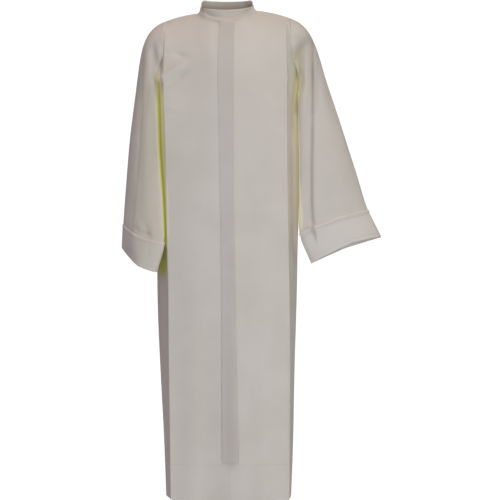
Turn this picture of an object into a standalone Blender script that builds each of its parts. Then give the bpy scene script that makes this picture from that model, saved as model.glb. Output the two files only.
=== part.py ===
"""Alb: a full-length liturgical robe of plain cloth, hollow and filled out as if it were worn.

Nine cut pieces, each one object: two front panels, a back, two sleeves, two turned-up cuffs,
a stand collar and a placket strip.  Metres, +Z up, the front faces -Y, the wearer's left is +X.
The origin is the base of the neck, where the wearer's shoulders hold the robe up.

Every piece is a sheet of points, worked out from the section tables below, with an inner skin
one cloth thickness inside it.
"""
import math
from collections import namedtuple

import bmesh
import bpy
import numpy as np

# ---------------------------------------------------------------- driving dimensions (metres)
CLOTH = 0.0015            # wall of a single layer
HEM_EXTRA = 0.0015        # second layer of the turned-up hem, on the inside
COLLAR_CLOTH = 0.0026     # two layers and a stiffener
SEAM_GAP = 0.0003         # air between neighbouring pieces
PLACKET_HALF = 0.0255     # half the width of the strip over the closing
SKIN_GAP = 0.0007         # air under a piece that lies on another
PLACKET_LIFT = 0.0020     # how far the placket's outer face stands off the fronts
CUFF_LIFT = 0.0024        # how far a cuff's outer face stands off the sleeve
CUFF_ROLL = 0.0018        # extra height of the ridge along a cuff's sewn edge
HEM_DEPTH = 0.105         # turned-up hem
HEM_Z = -1.434            # lower edge of the robe
UNDERARM_Z = -0.200       # height of the lowest point of the armholes

# ---------------------------------------------------------------- how finely the sheets are divided
ARM_ROWS = 13             # rows of each panel beside an armhole
SHOULDER_COLUMNS = 5      # columns along a shoulder seam
FACE_COLUMNS = 5          # columns from the placket's edge to the side fold
SIDE_COLUMNS = 4          # columns from the side fold to the side seam
BACK_COLUMNS = 13         # columns from the middle of the back to a side seam
SLEEVE_CAP_ROWS = 6       # rows from an armhole to the first sleeve section
EASE_PASSES = 6           # how often the chest's rows are evened out

LEFT = 1                  # the wearer's left, at +X
RIGHT = -1                # the wearer's right, at -X

# ---------------------------------------------------------------- section tables (metres)
# One row for each height of the body.  centre: x of the front closing; front, fold_y, seam_y and
# back: depths in y at the closing, the side folds, the side seams and the middle of the back;
# fold and seam: half-widths on the wearer's right (r) and left (l).
BodyRow = namedtuple("BodyRow", "z centre front fold_r fold_l fold_y seam_r seam_l seam_y back")
BODY_ROWS = (
    BodyRow(-0.200, -0.006, -0.126, 0.182, 0.187, -0.108, 0.201, 0.211, 0.004, 0.128),
    BodyRow(-0.300, -0.005, -0.133, 0.184, 0.187, -0.117, 0.209, 0.215, 0.026, 0.134),
    BodyRow(-0.450, -0.003, -0.136, 0.180, 0.187, -0.120, 0.212, 0.214, 0.034, 0.137),
    BodyRow(-0.660, -0.001, -0.138, 0.178, 0.187, -0.122, 0.214, 0.211, 0.032, 0.138),
    BodyRow(-0.850, 0.002, -0.139, 0.174, 0.186, -0.123, 0.213, 0.207, 0.024, 0.139),
    BodyRow(-1.080, 0.004, -0.140, 0.169, 0.184, -0.126, 0.203, 0.200, 0.016, 0.140),
    BodyRow(-1.280, 0.007, -0.141, 0.165, 0.183, -0.130, 0.192, 0.196, 0.010, 0.140),
    BodyRow(HEM_Z, 0.009, -0.141, 0.163, 0.182, -0.134, 0.186, 0.190, 0.004, 0.140),
)

SIDE_EASE = 1.8           # above 1 the side leaves the fold straighter and rounds off by the seam

# Soft standing folds of the hanging cloth, each a wave across the body that starts at `top` and is
# fully out at `full`.  across: 0 at the middle, 1 at the side fold or side seam.
Drape = namedtuple("Drape", "side across width depth top full")
BACK_DRAPES = (
    Drape(RIGHT, 0.70, 0.24, 0.016, -0.12, -0.95),
    Drape(RIGHT, 0.40, 0.19, -0.013, -0.20, -1.10),
    Drape(RIGHT, 0.16, 0.16, 0.011, -0.16, -1.00),
    Drape(LEFT, 0.17, 0.17, -0.011, -0.24, -1.15),
    Drape(LEFT, 0.43, 0.21, 0.015, -0.14, -0.90),
    Drape(LEFT, 0.74, 0.22, -0.012, -0.22, -1.05),
)
FRONT_DRAPES = (
    Drape(RIGHT, 0.62, 0.30, 0.004, -0.20, -1.20),
    Drape(LEFT, 0.55, 0.28, 0.005, -0.20, -1.20),
)

# The neck seam: height of its front, back and two sides, and its plan.
NECK_CENTRE_X = -0.003
NECK_HALF_WIDTH = 0.087
NECK_FRONT_Y = -0.074
NECK_BACK_Y = 0.066
NECK_FRONT_Z = -0.027
NECK_BACK_Z = 0.016
NECK_SIDE_Z = {RIGHT: 0.005, LEFT: 0.014}

# The collar: rings from the neck seam up.  rise: share of the collar's height; shrink: how much
# narrower in plan than the neck seam.
CollarRow = namedtuple("CollarRow", "rise shrink")
COLLAR_ROWS = (CollarRow(0.0, 0.0), CollarRow(0.25, 0.010), CollarRow(0.6, 0.0155),
               CollarRow(0.94, 0.0178), CollarRow(1.0, 0.0186))
COLLAR_FRONT = 0.033      # its height at the front
COLLAR_BACK = 0.031       # and at the back
RIM_SIDE_Z = {RIGHT: 0.024, LEFT: 0.031}    # where its edge passes over the shoulder seams
RIM_BACK_EASE = 2.2       # how soon behind the shoulders the edge is level with the back

# An armhole: its top at the shoulder seam, its lowest point and its width from front to back.
Armhole = namedtuple("Armhole", "top_x top_z waist_x under_x under_z front_y back_y middle_y")
ARMHOLES = {
    RIGHT: Armhole(-0.190, -0.0195, -0.184, -0.201, UNDERARM_Z, -0.082, 0.086, 0.004),
    LEFT: Armhole(0.187, -0.0090, 0.186, 0.211, UNDERARM_Z, -0.082, 0.086, 0.004),
}

# Sleeve sections from the upper arm down, each by its outer, front, inner and back corners.
# fullness: 2 is oval, less is flatter between sharper corners.  The last two rows are the cuff's
# sewn edge and the end of the sleeve.
Section = namedtuple("Section", "outer front inner back fullness")
SLEEVES = {
    RIGHT: (
        Section((-0.277, 0.010, -0.240), (-0.243, -0.080, -0.262), (-0.206, -0.052, -0.290),
                (-0.252, 0.088, -0.256), 1.85),
        Section((-0.293, 0.012, -0.378), (-0.256, -0.092, -0.402), (-0.199, -0.076, -0.424),
                (-0.256, 0.094, -0.390), 1.6),
        Section((-0.305, 0.012, -0.522), (-0.261, -0.100, -0.552), (-0.1945, -0.086, -0.572),
                (-0.262, 0.098, -0.530), 1.5),
        Section((-0.3125, 0.010, -0.627), (-0.263, -0.103, -0.662), (-0.192, -0.088, -0.682),
                (-0.266, 0.100, -0.634), 1.45),
        Section((-0.316, 0.006, -0.696), (-0.267, -0.104, -0.748), (-0.212, -0.090, -0.768),
                (-0.270, 0.096, -0.706), 1.45),
    ),
    LEFT: (
        Section((0.304, 0.012, -0.226), (0.258, -0.082, -0.246), (0.217, -0.016, -0.284),
                (0.264, 0.090, -0.244), 1.9),
        Section((0.346, 0.014, -0.356), (0.281, -0.084, -0.380), (0.2135, -0.034, -0.420),
                (0.290, 0.080, -0.378), 1.8),
        Section((0.387, 0.018, -0.485), (0.300, -0.080, -0.512), (0.212, -0.046, -0.556),
                (0.310, 0.066, -0.512), 1.75),
        Section((0.418, 0.022, -0.594), (0.312, -0.076, -0.620), (0.211, -0.052, -0.660),
                (0.324, 0.054, -0.624), 1.7),
        Section((0.457, 0.022, -0.666), (0.345, -0.072, -0.689), (0.249, -0.050, -0.743),
                (0.354, 0.048, -0.698), 1.7),
    ),
}
SLEEVE_ROWS = (3, 3, 3, 3)      # rows between one section and the next

# Long creases along a sleeve: where it runs round the section (0 outer edge, 90 front, 180 inner
# edge, in degrees), its width in degrees and its depth, inwards.
Crease = namedtuple("Crease", "angle width depth")
SLEEVE_CREASES = {
    RIGHT: (Crease(128, 16, 0.004), Crease(300, 20, 0.005)),
    LEFT: (Crease(137, 14, 0.007), Crease(282, 22, 0.006)),
}

# ---------------------------------------------------------------- finishes (sRGB 0..1 as linear)
Finish = namedtuple("Finish", "name colour roughness")
IVORY = Finish("polyester_ivory", (0.79, 0.75, 0.66, 1.0), 0.72)
IVORY_DOUBLE = Finish("polyester_ivory_double", (0.82, 0.78, 0.69, 1.0), 0.70)


# ---------------------------------------------------------------- small helpers
def unit(vectors):
    """The same vectors at length one."""
    length = np.linalg.norm(vectors, axis=-1, keepdims=True)
    return vectors / np.maximum(length, 1e-9)


def smooth(value):
    """An ease from 0 to 1."""
    value = np.clip(value, 0.0, 1.0)
    return value * value * (3.0 - 2.0 * value)


def bump(value, centre, width):
    """A round bump of height one, `width` to each side of `centre`."""
    return 0.5 + 0.5 * np.cos(np.pi * np.clip((value - centre) / width, -1.0, 1.0))


def through(stations, values, at):
    """A smooth curve through `values` at rising `stations`, read at `at` (Catmull-Rom)."""
    stations = np.asarray(stations, float)
    values = np.asarray(values, float)
    slopes = np.gradient(values, stations, axis=0)
    at = np.clip(at, stations[0], stations[-1])
    index = int(np.clip(np.searchsorted(stations, at) - 1, 0, len(stations) - 2))
    span = stations[index + 1] - stations[index]
    t = (at - stations[index]) / span
    start, end = values[index], values[index + 1]
    return ((2 * t ** 3 - 3 * t ** 2 + 1) * start + (t ** 3 - 2 * t ** 2 + t) * span * slopes[index]
            + (3 * t ** 2 - 2 * t ** 3) * end + (t ** 3 - t ** 2) * span * slopes[index + 1])


def body_row(z):
    """The body table read at height z."""
    rows = sorted(BODY_ROWS, key=lambda row: row.z)
    return BodyRow(*through([row.z for row in rows], rows, z))


def shared(first, second):
    """One normal for a seam where two sheets meet; in a valley each sheet keeps its own."""
    level = np.sum(first * second, axis=-1, keepdims=True) > 0.15
    mean = unit(first + second)
    return np.where(level, mean, first), np.where(level, mean, second)


def normals_of(points, closed=False):
    """Unit normals of a grid of points, for rows that run down and columns that run to the wearer's
    left across the front or to the right across the back; a closed grid wraps round its columns."""
    down = np.gradient(points, axis=0)
    if closed:
        across = (np.roll(points, -1, axis=1) - np.roll(points, 1, axis=1)) / 2.0
    else:
        across = np.gradient(points, axis=1)
    return unit(np.cross(down, across))


# ---------------------------------------------------------------- body: rows of each half
def row_heights():
    """Heights of the body's rows from the underarm to the hem."""
    hem_line = HEM_Z + HEM_DEPTH
    upper = np.linspace(UNDERARM_Z, hem_line, 12)
    return list(upper) + [hem_line - 0.004, (hem_line + HEM_Z) / 2.0, HEM_Z]


def front_columns():
    """How many columns a front panel has from the closing to the side seam."""
    return 2 + FACE_COLUMNS + SIDE_COLUMNS


def drape_offset(drapes, side, across, z):
    """How far the standing folds push the cloth out."""
    out = 0.0
    for drape in drapes:
        if drape.side == side:
            grown = smooth((drape.top - z) / (drape.top - drape.full))
            out = out + drape.depth * grown * bump(across, drape.across, drape.width)
    return out


def front_row(side, z):
    """One level row of a front panel, from the closing round the side fold to the side seam."""
    row = body_row(z)
    fold = side * (row.fold_l if side == LEFT else row.fold_r)
    seam = side * (row.seam_l if side == LEFT else row.seam_r)
    edge = row.centre + side * PLACKET_HALF
    face_x = [row.centre, row.centre + side * PLACKET_HALF / 2.0]
    face_x += list(np.linspace(edge, fold, FACE_COLUMNS + 1))
    points = []
    for x in face_x:
        across = (x - row.centre) / (fold - row.centre)
        y = row.front + (row.fold_y - row.front) * across ** 2.2
        y -= drape_offset(FRONT_DRAPES, side, across, z)
        points.append((x, y, z))
    for step in range(1, SIDE_COLUMNS + 1):
        share = step / SIDE_COLUMNS
        x = fold + (seam - fold) * math.sin(share * math.pi / 2.0) ** SIDE_EASE
        points.append((x, row.fold_y + (row.seam_y - row.fold_y) * share, z))
    return np.array(points)


def back_row(side, z):
    """One level row of half the back, from its middle to the side seam."""
    row = body_row(z)
    seam = side * (row.seam_l if side == LEFT else row.seam_r)
    points = []
    for step in range(BACK_COLUMNS + 1):
        share = step / BACK_COLUMNS
        angle = (1.0 - share) * math.pi / 2.0
        x = row.centre + (seam - row.centre) * math.cos(angle) ** 0.62
        y = row.seam_y + (row.back - row.seam_y) * math.sin(angle) ** 0.62
        out = drape_offset(BACK_DRAPES, side, share, z) * smooth(math.sin(angle) * 1.6)
        points.append((x, y + out, z))
    return np.array(points)


# ---------------------------------------------------------------- body: neck, shoulders, armholes
def neck_point(side, turn):
    """A point of the neck seam; turn 0 is the front, 90 the shoulder seam, 180 the back."""
    angle = math.radians(turn)
    depth = NECK_FRONT_Y if turn <= 90 else -NECK_BACK_Y
    level = NECK_FRONT_Z if turn <= 90 else NECK_BACK_Z
    lift = math.cos(angle) ** 2
    z = NECK_SIDE_Z[side] + (level - NECK_SIDE_Z[side]) * lift
    return np.array((NECK_CENTRE_X + side * NECK_HALF_WIDTH * math.sin(angle),
                     depth * math.cos(angle), z))


def armhole_point(side, turn):
    """A point of an armhole seam; turn 0 is the shoulder seam, 90 the front, 180 the underarm."""
    hole = ARMHOLES[side]
    angle = math.radians(turn)
    down = (1.0 - math.cos(angle)) / 2.0
    z = hole.top_z + (hole.under_z - hole.top_z) * down
    reach = hole.front_y if math.sin(angle) >= 0 else -hole.back_y
    y = hole.middle_y + (reach - math.copysign(hole.middle_y, reach)) * math.sin(angle)
    top_to_waist = hole.top_x + (hole.waist_x - hole.top_x) * smooth(down * 2.0)
    x = top_to_waist + (hole.under_x - hole.waist_x) * smooth(down * 2.0 - 1.0)
    return np.array((x, y, z))


def neck_turns(front):
    """Where the columns of a front or of half the back meet the neck seam, outwards from the middle."""
    if front:
        columns = front_columns() - SHOULDER_COLUMNS
        strip = math.degrees(math.asin(PLACKET_HALF / NECK_HALF_WIDTH))
        return [0.0, strip / 2.0] + list(np.linspace(strip, 90.0, columns - 1))
    columns = BACK_COLUMNS - SHOULDER_COLUMNS
    return list(np.linspace(180.0, 90.0, columns + 1))


def shoulder_point(side, share):
    """A point of a shoulder seam, 0 at the neck and 1 at the armhole, gently arched."""
    start, end = neck_point(side, 90), armhole_point(side, 0)
    point = start + (end - start) * share
    point[2] += 0.0035 * math.sin(share * math.pi)
    return point


def spread(top, bottom, inner, outer):
    """The smooth surface between four edge curves (a Coons patch): rows x columns of points."""
    v = np.linspace(0.0, 1.0, len(inner))[:, None, None]
    u = np.linspace(0.0, 1.0, len(top))[None, :, None]
    along = (1 - v) * top[None] + v * bottom[None]
    beside = (1 - u) * inner[:, None] + u * outer[:, None]
    corners = ((1 - v) * ((1 - u) * top[0] + u * top[-1]) + v * ((1 - u) * bottom[0] + u * bottom[-1]))
    return along + beside - corners


def middle_curve(start, end, chest_y):
    """The closing or the middle of the back, from the neck seam down to underarm height."""
    points = []
    for step in range(ARM_ROWS + 1):
        share = step / ARM_ROWS
        point = start + (end - start) * share
        point[1] = start[1] + (end[1] - start[1]) * math.sin(share * math.pi / 2.0) ** 0.9
        point[1] += chest_y * math.sin(share * math.pi)
        points.append(point)
    return np.array(points)


def half_panel(side, front):
    """Half of the front or the back from the middle to the side seam, neck to hem."""
    sign = 1 if front else -1
    row_at = front_row if front else back_row
    top = [neck_point(side, turn) for turn in neck_turns(front)]
    top += [shoulder_point(side, step / SHOULDER_COLUMNS) for step in range(1, SHOULDER_COLUMNS + 1)]
    bottom = row_at(side, UNDERARM_Z)
    arm = [armhole_point(side, sign * 180.0 * step / ARM_ROWS) for step in range(ARM_ROWS + 1)]
    bottom[-1] = arm[-1]
    middle = middle_curve(top[0], bottom[0], -0.004 if front else 0.006)
    upper = spread(np.array(top), bottom, middle, np.array(arm))
    lower = np.array([row_at(side, z) for z in row_heights()[1:]])
    return ease_rows(np.concatenate([upper, lower]))


def ease_rows(points):
    """The panel evened out over the chest and across underarm height; its seams stay in place."""
    points = points.copy()
    last = ARM_ROWS + 4
    high = (1.0 - np.arange(1, last) / ARM_ROWS).clip(0.0, 1.0)[:, None, None]
    for _ in range(EASE_PASSES):
        mean = (points[:last - 1] + 2.0 * points[1:last] + points[2:last + 1]) / 4.0
        points[1:last, :-1] = mean[:, :-1]
        level = (points[1:last, :-2] + 2.0 * points[1:last, 1:-1] + points[1:last, 2:]) / 4.0
        points[1:last, 1:-1] += (level - points[1:last, 1:-1]) * high
    return points


# ---------------------------------------------------------------- sleeves
def section_ring(section, side, count):
    """The points round one sleeve section, starting at the outer edge and passing the front."""
    corners = [np.array(corner) for corner in (section.outer, section.front, section.inner, section.back)]
    centre = sum(corners) / 4.0
    power = 2.0 / section.fullness
    ring = []
    for step in range(count):
        turn = 360.0 * step / count
        quarter = int(turn // 90) % 4
        angle = math.radians(turn - 90.0 * quarter)
        near, far = corners[quarter] - centre, corners[(quarter + 1) % 4] - centre
        ring.append(centre + near * math.cos(angle) ** power + far * math.sin(angle) ** power)
    ring = np.array(ring)
    turns = np.arange(count) * 360.0 / count
    for crease in SLEEVE_CREASES[side]:
        dent = crease.depth * bump(turns, crease.angle, crease.width)
        ring += unit(centre - ring) * dent[:, None]
    return ring


def sleeve_grid(side):
    """Rows of rings from the armhole seam to the sleeve's end."""
    count = 2 * ARM_ROWS
    hole = np.array([armhole_point(side, 360.0 * step / count) for step in range(count)])
    sections = [section_ring(section, side, count) for section in SLEEVES[side]]
    rings = []
    turns = np.radians(np.arange(count) * 360.0 / count)
    outward = (1.0 + np.cos(turns)) / 2.0
    leave = np.stack([side * (0.10 + 0.82 * outward), 0.0 * turns, -1.0 + 0.615 * outward], axis=1)
    leave = unit(leave) * (0.050 + 0.028 * outward)[:, None]
    arrive = (sections[1] - sections[0]) * (0.55 + 0.40 * outward)[:, None]
    for step in range(SLEEVE_CAP_ROWS):
        t = step / SLEEVE_CAP_ROWS
        rings.append((1 - t) ** 3 * hole + 3 * (1 - t) ** 2 * t * (hole + leave)
                     + 3 * (1 - t) * t ** 2 * (sections[0] - arrive) + t ** 3 * sections[0])
    stations = np.arange(len(sections), dtype=float)
    for index, rows in enumerate(SLEEVE_ROWS):
        for step in range(rows):
            rings.append(through(stations, sections, index + step / rows))
    rings.append(sections[-1])
    return np.array(rings)


# ---------------------------------------------------------------- collar
def collar_stations():
    """The neck seam's points all round, from the front by the wearer's left: (side, turn) pairs."""
    half = neck_turns(True) + neck_turns(False)[-2::-1]
    return [(LEFT, turn) for turn in half] + [(RIGHT, turn) for turn in half[-2:0:-1]]


def rim_height(side, turn):
    """The collar's upper edge: low at the front, rising evenly, then level round the back."""
    facing = math.cos(math.radians(turn))
    if facing >= 0.0:
        return RIM_SIDE_Z[side] + (NECK_FRONT_Z + COLLAR_FRONT - RIM_SIDE_Z[side]) * facing
    share = math.sin(min(1.0, -facing * RIM_BACK_EASE) * math.pi / 2.0)
    return RIM_SIDE_Z[side] + (NECK_BACK_Z + COLLAR_BACK - RIM_SIDE_Z[side]) * share


def collar_grid():
    """Rows of rings from the collar's edge down to the neck seam."""
    rings = []
    for row in reversed(COLLAR_ROWS):
        ring = []
        for side, turn in collar_stations():
            base = neck_point(side, turn)
            inward = unit(np.array((NECK_CENTRE_X - base[0], -base[1], 0.0)))
            height = rim_height(side, turn) - base[2]
            ring.append(base + inward * row.shrink + np.array((0.0, 0.0, height * row.rise)))
        rings.append(ring)
    return np.array(rings)


# ---------------------------------------------------------------- meshes
def pull_in(points, gap=SEAM_GAP / 2.0, rows=(False, False), columns=(False, False)):
    """The grid with its seam edges drawn back into the sheet by `gap`, half a seam's air."""
    points = points.copy()
    if rows[0]:
        points[0] += unit(points[1] - points[0]) * gap
    if rows[1]:
        points[-1] += unit(points[-2] - points[-1]) * gap
    if columns[0]:
        points[:, 0] += unit(points[:, 1] - points[:, 0]) * gap
    if columns[1]:
        points[:, -1] += unit(points[:, -2] - points[:, -1]) * gap
    return points


def make_cloth(name, outer, inner, finish, closed=False, sharp_degrees=40.0):
    """A closed wall of cloth between two grids of points, as one object.

    The outer skin is a grid whose vertices are moved to their places.  It is extruded, and the new
    skin is moved to the inner points, so the wall's edges close by themselves.
    """
    rows, columns = outer.shape[:2]
    if closed:
        outer = np.concatenate([outer, outer[:, :1]], axis=1)
        inner = np.concatenate([inner, inner[:, :1]], axis=1)
        columns += 1
    mesh = bmesh.new()
    bmesh.ops.create_grid(mesh, x_segments=columns - 1, y_segments=rows - 1, size=1.0)
    mesh.verts.ensure_lookup_table()
    place = mesh.verts.layers.int.new("place")
    for vertex in mesh.verts:
        column = round((vertex.co.x + 1.0) / 2.0 * (columns - 1))
        row = round((1.0 - vertex.co.y) / 2.0 * (rows - 1))
        vertex[place] = row * columns + column
    outer_flat, inner_flat = outer.reshape(-1, 3), inner.reshape(-1, 3)
    for vertex in mesh.verts:
        vertex.co = outer_flat[vertex[place]]
    if closed:
        bmesh.ops.remove_doubles(mesh, verts=mesh.verts, dist=1e-6)
    grown = bmesh.ops.extrude_face_region(mesh, geom=mesh.faces[:], use_keep_orig=True)
    for item in grown["geom"]:
        if isinstance(item, bmesh.types.BMVert):
            item.co = inner_flat[item[place]]
    bmesh.ops.recalc_face_normals(mesh, faces=mesh.faces)
    data = bpy.data.meshes.new(name)
    mesh.to_mesh(data)
    mesh.free()
    data.shade_smooth()
    data.set_sharp_from_angle(angle=math.radians(sharp_degrees))
    data.materials.append(material_of(finish))
    thing = bpy.data.objects.new(name, data)
    bpy.context.scene.collection.objects.link(thing)
    return thing


def material_of(finish):
    """The Principled BSDF of one finish, made once."""
    material = bpy.data.materials.get(finish.name)
    if material is None:
        material = bpy.data.materials.new(finish.name)
        material.use_nodes = True
        shader = material.node_tree.nodes["Principled BSDF"]
        shader.inputs["Base Color"].default_value = finish.colour
        shader.inputs["Roughness"].default_value = finish.roughness
        shader.inputs["Metallic"].default_value = 0.0
    return material


# ---------------------------------------------------------------- pieces
def wall_depths(row_count):
    """The wall's thickness in each row of a body panel: two layers below the hem line."""
    heights = row_heights()
    depths = np.full(row_count, CLOTH)
    below = [z < HEM_Z + HEM_DEPTH - 0.001 for z in heights]
    depths[-sum(below):] += HEM_EXTRA
    return depths[:, None, None]


def body_sheets():
    """Outer points and seam-sharing normals of the two fronts and the back."""
    points, normals = {}, {}
    for side in (RIGHT, LEFT):
        points["front", side] = half_panel(side, True)
        half = half_panel(side, False)
        points["back", side] = half
    back = np.concatenate([points["back", RIGHT][:, ::-1], points["back", LEFT][:, 1:]], axis=1)
    back_normals = -normals_of(back)
    middle = BACK_COLUMNS
    normals["back", RIGHT] = back_normals[:, middle::-1]
    normals["back", LEFT] = back_normals[:, middle:]
    for side in (RIGHT, LEFT):
        normals["front", side] = side * normals_of(points["front", side])
    meet = shared(normals["front", RIGHT][:, 0], normals["front", LEFT][:, 0])
    normals["front", RIGHT][:, 0], normals["front", LEFT][:, 0] = meet
    for side in (RIGHT, LEFT):
        front, rear = normals["front", side], normals["back", side]
        front[ARM_ROWS:, -1], rear[ARM_ROWS:, -1] = shared(front[ARM_ROWS:, -1], rear[ARM_ROWS:, -1])
        run = slice(-SHOULDER_COLUMNS - 1, None)
        front[0, run], rear[0, run] = shared(front[0, run], rear[0, run])
    return points, normals


def sleeve_sheet(side, normals):
    """A sleeve's outer points and normals, and the armhole edges of the panels made to agree."""
    points = sleeve_grid(side)
    own = -side * normals_of(points, closed=True)
    front, rear = normals["front", side], normals["back", side]
    for row in range(ARM_ROWS + 1):
        own[0, row], front[row, -1] = shared(own[0, row], front[row, -1])
    for row in range(1, ARM_ROWS):
        own[0, -row], rear[row, -1] = shared(own[0, -row], rear[row, -1])
    return points, own


def build_fronts(points, normals):
    for side, name in ((RIGHT, "front_right"), (LEFT, "front_left")):
        outer = points["front", side]
        inner = outer - normals["front", side] * wall_depths(len(outer))
        edges = {"rows": (True, False), "columns": (True, True)}
        make_cloth(name, pull_in(outer, **edges), pull_in(inner, **edges), IVORY)


def build_back(points, normals):
    outer = np.concatenate([points["back", RIGHT][:, ::-1], points["back", LEFT][:, 1:]], axis=1)
    facing = np.concatenate([normals["back", RIGHT][:, ::-1], normals["back", LEFT][:, 1:]], axis=1)
    inner = outer - facing * wall_depths(len(outer))
    edges = {"rows": (True, False), "columns": (True, True)}
    make_cloth("back", pull_in(outer, **edges), pull_in(inner, **edges), IVORY)


def build_sleeves(sleeves):
    for side, name in ((RIGHT, "sleeve_right"), (LEFT, "sleeve_left")):
        outer, facing = sleeves[side]
        inner = outer - facing * CLOTH
        outer, inner = (pull_in(skin, rows=(True, False)) for skin in (outer, inner))
        make_cloth(name, outer, inner, IVORY, closed=True)


def build_cuffs(sleeves):
    """Each cuff is made from its sleeve's last rows, moved out, with a ridge along its sewn edge."""
    rows = SLEEVE_ROWS[-1] + 1
    for side, name in ((RIGHT, "cuff_right"), (LEFT, "cuff_left")):
        points, facing = sleeves[side]
        seat = points[-rows:] + facing[-rows:] * SKIN_GAP
        lift = np.full((rows, 1, 1), CUFF_LIFT)
        lift[0] += CUFF_ROLL
        face = points[-rows:] + facing[-rows:] * lift
        make_cloth(name, face, seat, IVORY_DOUBLE, closed=True)


def collar_sheet():
    """The collar's outer points and normals; its sewn edge is level across its thickness."""
    points = collar_grid()
    facing = normals_of(points, closed=True)
    facing[-1, :, 2] = 0.0
    return points, unit(facing)


def build_collar():
    points, facing = collar_sheet()
    inner = points - facing * COLLAR_CLOTH
    outer, inner = (pull_in(skin, rows=(False, True)) for skin in (points, inner))
    make_cloth("collar", outer, inner, IVORY_DOUBLE, closed=True)


def build_placket(points, normals):
    """The strip over the closing, from the fronts' own points moved out, neck seam to hem line."""
    last = len(points["front", LEFT]) - 3
    span = slice(0, last)
    strip = [skin[span, 2:0:-1] for skin in (points["front", RIGHT], normals["front", RIGHT])]
    middle = [skin[span, 0:1] for skin in (points["front", RIGHT], normals["front", RIGHT])]
    other = [skin[span, 1:3] for skin in (points["front", LEFT], normals["front", LEFT])]
    base, facing = (np.concatenate(parts, axis=1) for parts in zip(strip, middle, other))
    seat, face = base + facing * SKIN_GAP, base + facing * PLACKET_LIFT
    edges = {"rows": (True, False)}
    make_cloth("placket", pull_in(face, 0.001, **edges), pull_in(seat, 0.001, **edges), IVORY_DOUBLE)


def build():
    """Clear the scene and make the nine pieces."""
    for thing in list(bpy.data.objects):
        bpy.data.objects.remove(thing, do_unlink=True)
    points, normals = body_sheets()
    sleeves = {side: sleeve_sheet(side, normals) for side in (RIGHT, LEFT)}
    build_fronts(points, normals)
    build_back(points, normals)
    build_sleeves(sleeves)
    build_cuffs(sleeves)
    build_collar()
    build_placket(points, normals)


build()
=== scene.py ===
"""Alb: the looks of a full-length liturgical robe of plain ivory cloth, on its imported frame.

The robe is hollow and filled out as if it were worn.  Metres, +Z up, the front faces -Y, the
wearer's left is +X.  Each piece is a sheet of cloth on the same form as its solid, drawn finer, with
its folds, turned edges, seams and sewing.
"""
import logging
import math
from dataclasses import dataclass, field, replace
from enum import Enum
from functools import cache
from typing import Callable, NamedTuple, Sequence

import bmesh
import bpy
import numpy as np
from mathutils import Matrix, Vector


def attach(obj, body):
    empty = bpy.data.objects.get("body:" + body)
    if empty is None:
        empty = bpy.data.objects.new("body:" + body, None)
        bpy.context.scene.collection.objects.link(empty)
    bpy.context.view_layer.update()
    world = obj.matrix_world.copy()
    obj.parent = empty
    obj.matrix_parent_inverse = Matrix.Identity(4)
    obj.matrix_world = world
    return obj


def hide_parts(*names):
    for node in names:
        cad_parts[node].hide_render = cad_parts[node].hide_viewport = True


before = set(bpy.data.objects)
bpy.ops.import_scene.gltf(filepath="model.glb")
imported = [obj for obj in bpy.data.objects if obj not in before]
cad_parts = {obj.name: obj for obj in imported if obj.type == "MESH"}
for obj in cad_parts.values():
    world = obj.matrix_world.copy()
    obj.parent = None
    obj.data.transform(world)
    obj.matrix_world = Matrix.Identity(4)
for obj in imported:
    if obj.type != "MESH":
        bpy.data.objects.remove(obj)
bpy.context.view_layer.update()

log = logging.getLogger("alb")

Line = tuple[tuple[float, float], ...]              # corners of a line, or the pairs of a curve
Spot = tuple[float, float, float]
SHARES = ("between", "painted_yellow_share", "painted_shade")      # painted light and shade: how far the cloth has a painted glow, as if lit through, how far it is painted yellow, and how much painted shade it has


class Side(Enum):
    """A side of the wearer; the value is the sign of its x."""

    RIGHT = -1
    LEFT = 1

    @property
    def word(self) -> str:
        """The side's name, as the pieces have it."""
        return self.name.lower()


class Facing(Enum):
    """The face of the robe that a fold lies on; the value is the sign of its normal's y."""

    FRONT = -1
    BACK = 1


# ---------------------------------------------------------------- small helpers
def unit(vectors: np.ndarray) -> np.ndarray:
    """The same vectors at length one."""
    return vectors / np.maximum(np.linalg.norm(vectors, axis=-1, keepdims=True), 1e-9)


def ease(value: np.ndarray | float) -> np.ndarray | float:
    """A smooth step from 0 to 1."""
    value = np.clip(value, 0.0, 1.0)
    return value * value * (3.0 - 2.0 * value)


def bump(value: np.ndarray | float, centre: float, width: float) -> np.ndarray | float:
    """A round bump of height one, `width` to each side of `centre`."""
    return 0.5 + 0.5 * np.cos(np.pi * np.clip((value - centre) / width, -1.0, 1.0))


def linear(hex_colour: str) -> tuple[float, float, float, float]:
    """The linear colour of an sRGB hex value such as "#e4ddd0"."""
    parts = [int(hex_colour[i:i + 2], 16) / 255.0 for i in (1, 3, 5)]
    return (*[c / 12.92 if c <= 0.04045 else ((c + 0.055) / 1.055) ** 2.4 for c in parts], 1.0)


def stations_of(values: np.ndarray) -> np.ndarray:
    """Running mean distance between the rows of a grid of points."""
    gaps = np.linalg.norm(np.diff(values, axis=0), axis=-1)
    gaps = gaps.reshape(len(gaps), -1).mean(axis=1)
    return np.concatenate([[0.0], np.cumsum(np.maximum(gaps, 1e-6))])


def runs_along(points: np.ndarray, axis: int = 0) -> np.ndarray:
    """Distance of each point from the first one, along the lines of points that run down `axis`."""
    steps = np.linalg.norm(np.diff(points, axis=axis), axis=-1)
    return np.insert(np.cumsum(steps, axis=axis), 0, 0.0, axis=axis)


def read_line(at: np.ndarray | float, runs: np.ndarray, values: np.ndarray) -> np.ndarray:
    """The rows of `values`, which lie at the distances `runs` along a line, read at other distances."""
    return np.stack([np.interp(at, runs, column) for column in values.T], axis=-1)


def nearest(values: np.ndarray, wanted: float) -> int:
    """The number of the value that is nearest to the wanted one."""
    return int(np.argmin(np.abs(values - wanted)))


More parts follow.
